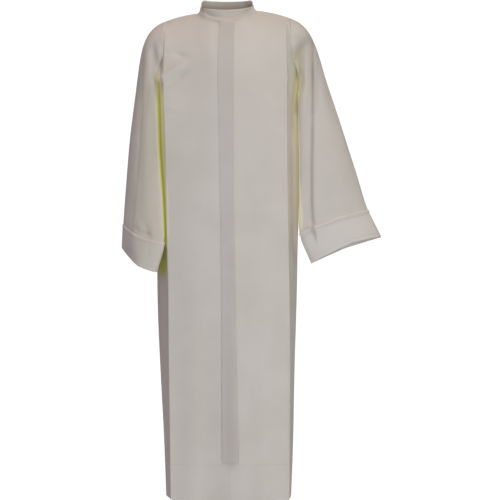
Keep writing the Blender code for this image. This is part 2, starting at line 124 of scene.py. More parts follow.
def averaged(points: np.ndarray, axis: int) -> np.ndarray:
    """All lines of points but the outer two, each averaged with those beside it, itself counted twice."""
    lines = np.moveaxis(points, axis, 0)
    return np.moveaxis((lines[:-2] + 2.0 * lines[1:-1] + lines[2:]) / 4.0, 0, axis)


def read_rows(values: np.ndarray, at: np.ndarray, stations: np.ndarray | None = None) -> np.ndarray:
    """Smooth curves through the rows of `values`, read at row numbers with fractions.

    Args:
        values: An array whose first axis is read.
        at: Row numbers, with fractions between the rows.
        stations: Where the rows lie along their curves; by default their mean distances.

    Returns:
        An array with one row for each of `at`.
    """
    stations = stations_of(values) if stations is None else np.asarray(stations, float)
    slopes = np.gradient(values, stations, axis=0)
    index = np.clip(np.floor(at).astype(int), 0, len(stations) - 2)
    after = index + 1
    shape = (-1,) + (1,) * (values.ndim - 1)
    t = (at - index).reshape(shape)
    span = (stations[after] - stations[index]).reshape(shape)
    return ((2 * t ** 3 - 3 * t ** 2 + 1) * values[index] + (t ** 3 - 2 * t ** 2 + t) * span * slopes[index]
            + (3 * t ** 2 - 2 * t ** 3) * values[after] + (t ** 3 - t ** 2) * span * slopes[after])


CLOSE = (-0.10, -0.045, 0.045, 0.10)        # extra lines beside a seam, as shares of a space


def between_lines(steps: Sequence[int], fine_at: Sequence[int] = ()) -> np.ndarray:
    """Row or column numbers, with fractions, that a coarse grid is read at.

    Args:
        steps: How many parts each space between two coarse lines is divided into.
        fine_at: Coarse lines that get extra lines close beside them, as along a seam or a fold.

    Returns:
        Rising numbers from 0 to the number of spaces.
    """
    found = {float(len(steps))}
    for number, count in enumerate(steps):
        found.update(number + step / count for step in range(count))
    for line in fine_at:
        found.update(line + shift for shift in CLOSE if 0 < line + shift < len(steps))
    return np.array(sorted(found))


def lies_on(line: Line, points: np.ndarray) -> tuple[np.ndarray, np.ndarray]:
    """How far points are from a line of straight parts.

    Args:
        line: The line's corners.
        points: Points with as many coordinates as the corners.

    Returns:
        The distance of each point, and the share of the line's length at its nearest place.
    """
    corners = np.asarray(line, float)
    lengths = np.linalg.norm(np.diff(corners, axis=0), axis=1)
    runs = runs_along(corners)
    best, share = np.full(points.shape[:-1], np.inf), np.zeros(points.shape[:-1])
    for start, end, length, run in zip(corners[:-1], corners[1:], lengths, runs):
        along = np.clip((points - start) @ (end - start) / length ** 2, 0.0, 1.0)
        distance = np.linalg.norm(points - start - along[..., None] * (end - start), axis=-1)
        nearer = distance < best
        best = np.where(nearer, distance, best)
        share = np.where(nearer, (run + along * length) / runs[-1], share)
    return best, share


# ---------------------------------------------------------------- materials
def connect(node: bpy.types.Node, inputs: dict) -> bpy.types.Node:
    """Give a node's inputs, by name or number, their values or the sockets that feed them."""
    for name, value in inputs.items():
        if isinstance(value, bpy.types.NodeSocket):
            node.id_data.links.new(value, node.inputs[name])
        else:
            node.inputs[name].default_value = value
    return node


def add_node(tree: bpy.types.NodeTree, kind: str, settings: dict | None = None,
             inputs: dict | None = None) -> bpy.types.Node:
    """Add one shader node.

    Args:
        tree: The node tree.
        kind: The node's type, such as "ShaderNodeTexNoise".
        settings: Properties of the node.
        inputs: Values or sockets for its inputs, by name or number.

    Returns:
        The node.
    """
    node = tree.nodes.new(kind)
    for name, value in (settings or {}).items():
        setattr(node, name, value)
    return connect(node, inputs or {})


def started(name: str) -> tuple[bpy.types.Material, bpy.types.NodeTree, bpy.types.Node]:
    """A new material, with its node tree and its shader."""
    made = bpy.data.materials.new(name)
    made.use_nodes = True
    return made, made.node_tree, made.node_tree.nodes["Principled BSDF"]


def placed(name: str, data: bpy.types.ID) -> bpy.types.Object:
    """Put an object with this data in the scene."""
    thing = bpy.data.objects.new(name, data)
    bpy.context.scene.collection.objects.link(thing)
    return thing


def finished(mesh: bmesh.types.BMesh, name: str, material: bpy.types.Material) -> bpy.types.Object:
    """Turn a bmesh into an object of one material, in the scene."""
    data = bpy.data.meshes.new(name)
    mesh.to_mesh(data)
    mesh.free()
    data.materials.append(material)
    return placed(name, data)


@dataclass(frozen=True)
class ClothFinish:
    """Woven polyester, piece-dyed ivory: matt, smooth and close, with a faint sheen at a low angle."""

    name: str
    colour: str                     # sRGB of the cloth
    worn: str                       # sRGB where dye and handling leave it a little darker
    painted_yellow_colour: str = "#c2c044"           # sRGB of painted yellow deep between two layers, standing in for light that goes to and fro between them
    painted_glow_strength: float = 0.26        # strength of the painted glow, an emission that stands in for light coming through the thin cloth there
    painted_shade_colour: str = "#4d4639"         # sRGB of painted shade, towards which it turns down in the troughs between folds
    clouds: float = 7.0             # changes of tone to a metre, each about 140 mm across
    cloud_range: tuple[float, float] = (0.35, 0.70)
    drawn_mm: float = 1.3           # threads lie 0.32 mm apart, too fine to show, so drawn coarser
    weave_height: float = 0.00006
    slubs: float = 90.0             # thicker threads to a metre, about 11 mm apart
    slub_height: float = 0.00012
    roughness: float = 0.78
    rougher: float = 0.05           # how much the slubs change that, up and down
    ior: float = 1.47
    specular: float = 0.30
    sheen: float = 0.22
    sheen_roughness: float = 0.45

    @cache
    def make(self) -> bpy.types.Material:
        """Build the material, once.

        Returns:
            The material: an even ivory with cloudy, very slight changes of tone, painted yellow, painted
                shade and a painted glow where the piece's attributes call for them, and a plain weave.
        """
        made, tree, shader = started(self.name)
        place = add_node(tree, "ShaderNodeTexCoord").outputs["Object"]
        uv = add_node(tree, "ShaderNodeUVMap", {"uv_map": "cloth"}).outputs["UV"]
        cloud, slub = (add_node(tree, "ShaderNodeTexNoise", {}, {"Vector": place, **inputs}).outputs["Fac"]
                       for inputs in ({"Scale": self.clouds, "Detail": 3.0, "Roughness": 0.55},
                                      {"Scale": self.slubs, "Detail": 2.0}))
        tone = add_node(tree, "ShaderNodeMapRange", {},
                        {"Value": cloud, "From Min": self.cloud_range[0],
                         "From Max": self.cloud_range[1]}).outputs["Result"]
        # the three attributes: painted glow, painted yellow and painted shade
        between, painted_yellow, painted_shade = (
            add_node(tree, "ShaderNodeAttribute", {"attribute_name": name}).outputs["Fac"]
            for name in SHARES)
        # the cloth's colour, its cloudy darker tone, then painted yellow between layers and painted shade in
        # the troughs of folds
        colours = [linear(self.colour)]
        for factor, colour in ((tone, self.worn), (painted_yellow, self.painted_yellow_colour), (painted_shade, self.painted_shade_colour)):
            mixed = add_node(tree, "ShaderNodeMix", {"data_type": "RGBA"},
                             {"Factor": factor, 6: colours[-1], 7: linear(colour)})
            colours.append(mixed.outputs[2])
        # painted light: an emission that stands in for light coming through the thin cloth where two layers
        # lie close
        product = {"operation": "MULTIPLY"}
        through = add_node(tree, "ShaderNodeMath", product, {0: between, 1: self.painted_glow_strength})
        # one wave to a drawn thread: the wave node turns 20 times its scale, in radians, over a metre
        waves = {"Vector": uv, "Scale": 2.0 * math.pi / 20.0 / (self.drawn_mm / 1000.0)}
        warp, weft = (add_node(tree, "ShaderNodeTexWave", {"bands_direction": way}, waves).outputs["Fac"]
                      for way in "XY")
        weave = add_node(tree, "ShaderNodeMath", product, {0: warp, 1: weft})
        rough = add_node(tree, "ShaderNodeMapRange", {},
                         {"Value": slub, "To Min": self.roughness - self.rougher,
                          "To Max": self.roughness + self.rougher})
        threads = add_node(tree, "ShaderNodeBump", {}, {"Height": weave.outputs["Value"], "Strength": 0.6,
                                                        "Distance": self.weave_height})
        relief = add_node(tree, "ShaderNodeBump", {}, {"Height": slub, "Strength": 0.5,
                                                       "Distance": self.slub_height,
                                                       "Normal": threads.outputs["Normal"]})
        connect(shader, {
            "Base Color": colours[3], "Emission Color": colours[2], "Emission Strength": through.outputs[0],
            "Roughness": rough.outputs["Result"], "Normal": relief.outputs["Normal"], "Metallic": 0.0,
            "IOR": self.ior, "Specular IOR Level": self.specular, "Sheen Weight": self.sheen,
            "Sheen Roughness": self.sheen_roughness})
        return made


@dataclass(frozen=True)
class ThreadFinish:
    """Spun polyester sewing thread, dyed to match: slightly glossier than the cloth, with a twist."""

    name: str = "sewing_thread_ivory"
    colour: str = "#d9d0bf"
    dark: str = "#b9af9d"
    twist_scale: float = 260.0      # turns 1.2 mm apart, drawn coarser than real ones so that they show
    twist_height: float = 0.00005
    roughness: float = 0.5
    ior: float = 1.5

    @cache
    def make(self) -> bpy.types.Material:
        """Build the material, once: ivory thread, darker between the turns of its twist."""
        made, tree, shader = started(self.name)
        place = add_node(tree, "ShaderNodeTexCoord").outputs["Object"]
        twist = add_node(tree, "ShaderNodeTexWave", {"bands_direction": "DIAGONAL"},
                         {"Vector": place, "Scale": self.twist_scale, "Distortion": 0.5}).outputs["Fac"]
        mixed = add_node(tree, "ShaderNodeMix", {"data_type": "RGBA"},
                         {"Factor": twist, 6: linear(self.dark), 7: linear(self.colour)})
        relief = add_node(tree, "ShaderNodeBump", {},
                          {"Height": twist, "Distance": self.twist_height, "Strength": 0.5})
        connect(shader, {"Base Color": mixed.outputs[2], "Normal": relief.outputs["Normal"],
                         "Roughness": self.roughness, "IOR": self.ior})
        return made


@dataclass(frozen=True)
class BoardFinish:
    """Smooth painted board, the studio's floor: matt and pale."""

    name: str = "painted_board_pale"
    colour: str = "#e6e5e2"
    lighter: str = "#eae9e6"
    mottle: float = 3.0             # changes of tone to a metre, each about 330 mm across
    roughness: float = 0.9

    def make(self) -> bpy.types.Material:
        """Build the material: pale paint, broadly and very faintly mottled."""
        made, tree, shader = started(self.name)
        place = add_node(tree, "ShaderNodeTexCoord").outputs["Object"]
        tone = add_node(tree, "ShaderNodeTexNoise", {},
                        {"Vector": place, "Scale": self.mottle, "Detail": 2.0}).outputs["Fac"]
        mixed = add_node(tree, "ShaderNodeMix", {"data_type": "RGBA"},
                         {"Factor": tone, 6: linear(self.colour), 7: linear(self.lighter)})
        connect(shader, {"Base Color": mixed.outputs[2], "Roughness": self.roughness})
        return made


IVORY = ClothFinish("polyester_gabardine_ivory", "#e5ddcf", "#ded6c7")
IVORY_DOUBLE = ClothFinish("polyester_gabardine_ivory_doubled", "#ebe3d6", "#e5ddcf", roughness=0.74)
IVORY_STIFF = ClothFinish("polyester_gabardine_ivory_interlined", "#e2dacb", "#dcd3c3", roughness=0.76)
# the strip's cloth is painted darker than the fronts: painted shade, standing in for the shade on the strip
IVORY_STRIP_PAINTED_SHADE = ClothFinish("polyester_gabardine_ivory_strip_painted_shade", "#dcd5c8", "#d7cfc1", roughness=0.74)
THREAD = ThreadFinish()


# ---------------------------------------------------------------- folds in the cloth
def beside_line(line: Line, points: np.ndarray, fade: float) -> tuple[np.ndarray, np.ndarray]:
    """How points lie by a line that runs down the robe.

    Args:
        line: Its (x, z) corners, from its top down.
        points: A grid of points.
        fade: Length over which its ends die away.

    Returns:
        How far beside it each point is, towards +x, and its strength at the point's height.
    """
    xs, zs = np.array(line)[::-1].T
    z = points[..., 2]
    return points[..., 0] - np.interp(z, zs, xs), ease((zs[-1] - z) / fade) * ease((z - zs[0]) / fade)


@dataclass(frozen=True)
class Fold:
    """A soft ridge or trough of the cloth, along a line seen from the front or the back; in the table of
    painted shade its height is the share of painted shade instead.
    """

    line: Line                      # (x, z) corners, in metres
    height: float                   # above 0 a ridge, below 0 a trough
    width: float
    strength: Spot = (0.0, 1.0, 0.0)        # at its start, middle and end
    facing: Facing = Facing.FRONT
    turned: float = 2.5             # how soon it dies where the cloth turns away from its face

    def lift(self, points: np.ndarray, normals: np.ndarray) -> np.ndarray:
        """How far the fold moves points of the cloth out.

        Args:
            points: A grid of points.
            normals: Their outward normals.

        Returns:
            The heights, one for each point.
        """
        distance, share = lies_on(self.line, points[..., (0, 2)])
        reach = np.exp(-(distance / self.width) ** 2)
        fade = np.interp(share, (0.0, 0.5, 1.0), self.strength)
        faces = ease(normals[..., 1] * self.facing.value * self.turned)
        return self.height * reach * fade * faces


@dataclass(frozen=True)
class Pleat:
    """A long crease where the cloth comes forward towards +x: steepest there, and easing to both sides."""

    line: Line                      # (x, z) of the crease, from its top down
    slope: float
    ease_r: float                   # length over which it eases towards -x
    ease_l: float                   # and towards +x
    reach: float                    # length over which the stepped cloth comes back
    groove: float = 0.0             # depth of the sharp crease at the line itself
    fade: float = 0.05              # length over which its ends die away
    turned: float = 2.0             # how soon it dies where the cloth turns away from the front

    def lift(self, points: np.ndarray, normals: np.ndarray) -> np.ndarray:
        """How far the pleat moves points of the cloth out.

        Args:
            points: A grid of points.
            normals: Their outward normals.

        Returns:
            The heights, one for each point.
        """
        beyond, ends = beside_line(self.line, points, self.fade)
        step = (self.ease_l * (1.0 - np.exp(-np.maximum(beyond, 0.0) / self.ease_l))
                - self.ease_r * (1.0 - np.exp(np.minimum(beyond, 0.0) / self.ease_r)))
        lift = (self.slope * step * np.exp(-np.abs(beyond) / self.reach)
                - self.groove * np.exp(-(beyond / np.where(beyond < 0.0, self.ease_r, self.ease_l)) ** 2))
        return lift * ends * ease(-normals[..., 1] * self.turned)


@dataclass(frozen=True)
class PaintedLight:
    """A narrow place between layers with painted light: a glow that stands in for light coming through the
    thin cloth, and a painted yellow that stands in for light going to and fro between the layers.
    """

    line: Line                      # (x, z) of its middle, from its top down
    half: float                     # how far the painted glow reaches to each side
    light: float
    warm_half: float = 0.01         # how far the painted yellow reaches to each side
    painted_yellow: float = 0.0
    nearest: float = -0.30          # its range in y, and the lengths over which it fades in and out
    furthest: float = 0.07
    fade: float = 0.05
    fade_near: float = 0.02
    fade_far: float = 0.04

    def shares(self, points: np.ndarray) -> tuple[np.ndarray, np.ndarray]:
        """How strongly points have the painted glow, and how much painted yellow they get."""
        beside, ends = beside_line(self.line, points, self.fade)
        y = points[..., 1]
        inside = ends * ease((y - self.nearest) / self.fade_near) * ease((self.furthest - y) / self.fade_far)
        return (self.light * inside * ease(1.0 - np.abs(beside) / self.half),
                self.painted_yellow * inside * ease(1.0 - np.abs(beside) / self.warm_half))


# painted light: glow and yellow along lines by the underarms, between the sleeves and the body, and inside
# the back of the collar
PAINTED_LIGHTS = (
    PaintedLight(((-0.2055, -0.18), (-0.2047, -0.264), (-0.2005, -0.3945), (-0.1885, -0.558), (-0.1835, -0.662),
            (-0.1835, -0.715)), 0.012, 0.85, 0.0078, 1.15, fade=0.04),
    PaintedLight(((-0.19, -0.56), (-0.1835, -0.662), (-0.1835, -0.73)), 0.011, 0.45, 0.0105, 1.7, nearest=-0.101,
           fade=0.06),
    PaintedLight(((-0.196, -0.21), (-0.193, -0.3945), (-0.182, -0.558), (-0.179, -0.69)), 0.012, 0.6, fade=0.05),
    PaintedLight(((-0.179, -0.64), (-0.185, -0.69), (-0.196, -0.8)), 0.018, 0.12, 0.025, 1.8, nearest=-0.101,
           furthest=0.02, fade=0.06),
    PaintedLight(((-0.228, -0.1), (-0.228, -0.8)), 0.06, 0.0, 0.06, 0.12, furthest=-0.02, fade=0.12),
    PaintedLight(((0.215, -0.175), (0.203, -0.256), (0.199, -0.291), (0.2036, -0.333)), 0.012, 0.8, 0.0066, 0.7,
           fade=0.03),
    PaintedLight(((0.198, -0.27), (0.2036, -0.333), (0.206, -0.392), (0.2062, -0.485), (0.2136, -0.6),
            (0.214, -0.66)), 0.012, 1.3, 0.0058, 0.62, fade=0.04),
    PaintedLight(((0.198, -0.3), (0.2, -0.46), (0.206, -0.74)), 0.016, 0.78, fade=0.08),
    PaintedLight(((0.218, -0.2), (0.219, -0.62)), 0.013, 0.2, fade=0.06),
    PaintedLight(((-0.208, -0.15), (-0.206, -0.225)), 0.013, 0.78, 0.012, 0.15, furthest=0.12, fade=0.03),
    PaintedLight(((0.208, -0.08), (0.208, -0.3)), 0.03, 0.0, 0.034, 0.2, furthest=-0.01, fade=0.05),
    PaintedLight(((0.008, 0.052), (0.008, 0.0)), 0.13, 0.26, nearest=0.03, furthest=0.2, fade=0.015),
    PaintedLight(((0.045, 0.052), (0.045, 0.0)), 0.05, 0.33, nearest=0.03, furthest=0.2, fade=0.015),
)
# painted shade where less light comes down between the folds, as lines whose height is the share of light
# lost
PAINTED_SHADE_LINES = (
    # the left cap's sag and seam, and along the crease below it
    Fold(((0.23, -0.084), (0.202, -0.118), (0.204, -0.185)), 0.15, 0.013, (0.8, 1.0, 0.5)),
    Fold(((0.212, -0.074), (0.215, -0.104), (0.213, -0.16)), 0.15, 0.015, (0.8, 1.0, 0.0)),
    Fold(((0.236, -0.04), (0.24, -0.15), (0.244, -0.3)), 0.12, 0.022, (1.0, 0.8, 0.3)),
    Fold(((0.1885, -0.07), (0.1895, -0.16)), 0.1, 0.0045),
    Fold(((0.254, -0.075), (0.2505, -0.3), (0.2475, -0.5), (0.25, -0.65)), 0.12, 0.0042, (1.0, 0.9, 0.6)),
    Fold(((0.25, -0.09), (0.2455, -0.3), (0.242, -0.65)), 0.09, 0.01, (0.6, 1.0, 0.9)),
    Fold(((0.25, -0.05), (0.2525, -0.15), (0.2515, -0.3)), 0.19, 0.0042, (0.9, 1.0, 0.6)),
    Fold(((0.244, -0.06), (0.248, -0.15), (0.248, -0.28)), 0.07, 0.009, (0.9, 1.0, 0.2)),
    Fold(((0.261, -0.05), (0.264, -0.15), (0.264, -0.29)), 0.14, 0.006, (1.0, 1.0, 0.4)),
    # the right cap's sag, and the turn from the sleeve's front to its outer side
    Fold(((-0.216, -0.092), (-0.208, -0.135), (-0.203, -0.172)), 0.12, 0.01, (0.4, 1.0, 0.0)),
    Fold(((-0.224, -0.09), (-0.217, -0.16)), 0.06, 0.01, (0.4, 1.0, 0.2)),
    Fold(((-0.2, -0.09), (-0.215, -0.14), (-0.22, -0.26), (-0.213, -0.42)), 0.1, 0.014, (1.0, 1.0, 0.7)),
    Fold(((-0.2505, -0.19), (-0.2515, -0.285), (-0.261, -0.4), (-0.264, -0.48)), 0.11, 0.0055),
    Fold(((-0.222, -0.225), (-0.213, -0.42), (-0.208, -0.62)), 0.1, 0.012, (0.8, 1.0, 0.4)),
    Fold(((-0.292, -0.65), (-0.292, -0.76)), 0.19, 0.024, (0.6, 1.0, 1.0)),
    Fold(((-0.22, -0.66), (-0.22, -0.77)), 0.09, 0.03, (0.8, 1.0, 1.0)),
    # under the folds over the chest
    Fold(((-0.156, -0.206), (-0.124, -0.18), (-0.108, -0.176)), 0.035, 0.009, (0.2, 1.0, 0.2)),
    Fold(((-0.168, -0.118), (-0.11, -0.134)), 0.025, 0.008),
    # the collar's right corner, and the lower fronts
    Fold(((-0.079, 0.016), (-0.0765, -0.012)), 0.16, 0.007, (0.8, 1.0, 0.8)),
    Fold(((-0.0735, 0.02), (-0.071, -0.006)), 0.15, 0.006, (0.8, 1.0, 0.8)),
    Fold(((0.056, 0.016), (0.068, -0.006)), 0.1, 0.014, (0.8, 1.0, 0.8)),
    Fold(((-0.004, -0.9), (-0.02, -1.44)), 0.05, 0.045, (0.1, 0.8, 1.0)),
    Fold(((0.002, -0.9), (0.009, -1.34)), 0.06, 0.014, (0.2, 0.9, 1.0)),
    Fold(((0.193, -0.95), (0.191, -1.43)), 0.3, 0.009, (0.2, 1.0, 1.0)),
)


# radians to a metre across and up, phase in radians, and share of the height
WAVES = ((34.0, 1.9, 0.4, 1.0), (-57.0, 3.1, 2.1, 0.55), (88.0, -6.3, 4.0, 0.30), (21.0, 11.0, 5.2, 0.45),
         (-15.0, 17.0, 1.1, 0.25))


def ripple(points: np.ndarray, height: float) -> np.ndarray:
    """The faint unevenness of hanging cloth: long soft waves, mostly upright.

    Args:
        points: A grid of points.
        height: The height of the strongest wave.

    Returns:
        The heights, one for each point.
    """
    x, y, z = points[..., 0], points[..., 1], points[..., 2]
    return height * sum(weight * np.sin(across * (x + 0.6 * y) + up * z + phase)
                        for across, up, phase, weight in WAVES)


# ---------------------------------------------------------------- a sheet of cloth
@dataclass
class Sheet:
    """A sheet of cloth as rows and columns of points; a closed one wraps round its columns."""

    points: np.ndarray
    closed: bool = False
    turn: float = 1.0               # 1 where (down x across) points out, -1 where it points in

    def normals(self) -> np.ndarray:
        """Outward unit normals."""
        down = np.gradient(self.points, axis=0)
        if self.closed:
            across = np.roll(self.points, -1, axis=1) - np.roll(self.points, 1, axis=1)
        else:
            across = np.gradient(self.points, axis=1)
        return self.turn * unit(np.cross(down, across))

    def finer(self, rows: np.ndarray, columns: np.ndarray, breaks: Sequence[int] = ()) -> "Sheet":
        """The same sheet read at closer rows and columns.

        Args:
            rows: Row numbers with fractions.
            columns: Column numbers with fractions; a closed sheet has one more column at its end.
            breaks: Columns where the sheet keeps a folded edge.

        Returns:
            The finer sheet.
        """
        sideways = read_rows(self.points, rows).transpose(1, 0, 2)
        if self.closed:
            lap = 3                 # columns repeated at both ends, so that the curves run on smoothly
            around = np.concatenate([sideways[-lap:], sideways, sideways[:lap + 1]])
            return replace(self, points=read_rows(around, columns + lap)[:-1].transpose(1, 0, 2))
        ends = [0, *breaks, len(sideways) - 1]
        parts = []
        for first, last in zip(ends[:-1], ends[1:]):
            inside = columns[(columns >= first) & ((columns < last) | (last == ends[-1]))]
            parts.append(read_rows(sideways[first:last + 1], inside - first))
        return replace(self, points=np.concatenate(parts).transpose(1, 0, 2))

    def raised(self, heights: np.ndarray) -> "Sheet":
        """The sheet moved out along its normals by `heights`."""
        return replace(self, points=self.points + self.normals() * heights[..., None])

    def run_down(self) -> np.ndarray:
        """Distance of each point from the first row, along the cloth."""
        return runs_along(self.points)

    def run_across(self) -> np.ndarray:
        """Distance of each point from the first column, along the cloth."""
        return runs_along(self.points, 1)

    def folded(self, heights: np.ndarray | float, folds: Sequence[Fold | Pleat]) -> np.ndarray:
        """The heights with those of folds on this sheet added to them."""
        normals = self.normals()
        return sum((fold.lift(self.points, normals) for fold in folds), heights)

    def stitched(self, name: str, row: int, columns: slice = slice(None)) -> bpy.types.Object:
        """Sew a row of stitches along one row of the sheet, all round it if it is closed."""
        lines = [values[row, columns] for values in (self.points, self.normals())]
        if self.closed:
            lines = [np.concatenate([line, line[:1]]) for line in lines]
        return StitchRow(name, *lines).build()

    def turned_under(self, depth: float, roll: float) -> "Sheet":
        """The sheet with its last edge rolled under and laid up inside it.

        Args:
            depth: How far up the inside it reaches.
            roll: Radius of the roll.

        Returns:
            The sheet with rows added at its end.
        """
        normals = self.normals()
        edge, facing = self.points[-1], normals[-1]
        down = unit(edge - self.points[-2])
        added = [edge + roll * (facing * (math.cos(angle) - 1.0) + down * math.sin(angle))
                 for angle in np.radians((35.0, 70.0, 110.0, 145.0, 180.0))]
        from_edge = np.linalg.norm(self.points[:, 0] - edge[0], axis=-1)
        last = len(self.points) - 1
        highest = last - (int(np.argmax(from_edge[::-1] > depth)) or last)
        every = 2                   # rows of the cloth to one row of the layer inside it
        added += [self.points[row] - normals[row] * 2.0 * roll
                  for row in range(last - every, highest, -every)]
        return replace(self, points=np.concatenate([self.points, np.array(added)]))

    def make(self, name: str, finish: ClothFinish, wall: float) -> bpy.types.Object:
        """Make the object: a grid whose points are moved to the sheet's, with a wall inside it.

        Args:
            name: The object's name.
            finish: Its cloth.
            wall: Thickness of the cloth, in metres.

        Returns:
            The object, at the origin, in the scene.
        """
        points = self.points
        if self.closed:
            points = np.concatenate([points, points[:, :1]], axis=1)
        whole = Sheet(points, turn=self.turn)
        across, down = whole.run_across(), whole.run_down()
        # painted light and shade: the painted glow, painted yellow and painted shade of each point
        painted_shares = [*np.max([hollow.shares(points) for hollow in PAINTED_LIGHTS], axis=0), whole.folded(0.0, PAINTED_SHADE_LINES)]
        rows, columns = points.shape[:2]
        mesh = bmesh.new()
        bmesh.ops.create_grid(mesh, x_segments=columns - 1, y_segments=rows - 1, size=1.0)
        layers = [mesh.verts.layers.float.new(share) for share in SHARES]
        place = {}
        for vertex in mesh.verts:
            row, column = (1.0 - vertex.co.y) / 2.0 * (rows - 1), (vertex.co.x + 1.0) / 2.0 * (columns - 1)
            place[vertex] = at = (round(row), round(column))
            for layer, shares in zip(layers, painted_shares):
                vertex[layer] = shares[at]
        for vertex, at in place.items():
            vertex.co = points[at]
        cloth = mesh.loops.layers.uv.new("cloth")
        for face in mesh.faces:
            face.smooth = True
            for loop in face.loops:
                at = place[loop.vert]
                loop[cloth].uv = (across[at], -down[at])
        if self.closed:
            bmesh.ops.remove_doubles(mesh, verts=mesh.verts, dist=1e-6)
        if self.turn < 0:
            bmesh.ops.reverse_faces(mesh, faces=mesh.faces)
        for edge in mesh.edges:
            edge.smooth = not edge.is_boundary
        thing = finished(mesh, name, finish.make())
        solid = thing.modifiers.new("wall", "SOLIDIFY")
        solid.thickness, solid.offset = wall, -1.0
        return thing


def seam_dip(distance: np.ndarray, depth: float, width: float) -> np.ndarray:
    """How far the cloth is drawn in at a sewn seam, by its distance from it."""
    return -depth * np.exp(-(distance / width) ** 2)


# ---------------------------------------------------------------- the robe's sizes and form
class BodyRow(NamedTuple):
    """The body at one height: x of the closing, depths in y, and half-widths to each side."""

    z: float
    centre: float
    front: float
    fold_r: float
    fold_l: float
    fold_y: float
    seam_r: float
    seam_l: float
    seam_y: float
    back: float


class Drape(NamedTuple):
    """A standing fold of the skirt, across the body from 0 at its middle to 1 at its side."""

    side: Side
    across: float
    width: float
    depth: float
    top: float
    full: float


class Armhole(NamedTuple):
    """An armhole: its top at the shoulder seam, its lowest point, and its reach in y."""

    top_x: float
    top_z: float
    waist_x: float
    under_x: float
    under_z: float
    front_y: float
    back_y: float
    middle_y: float


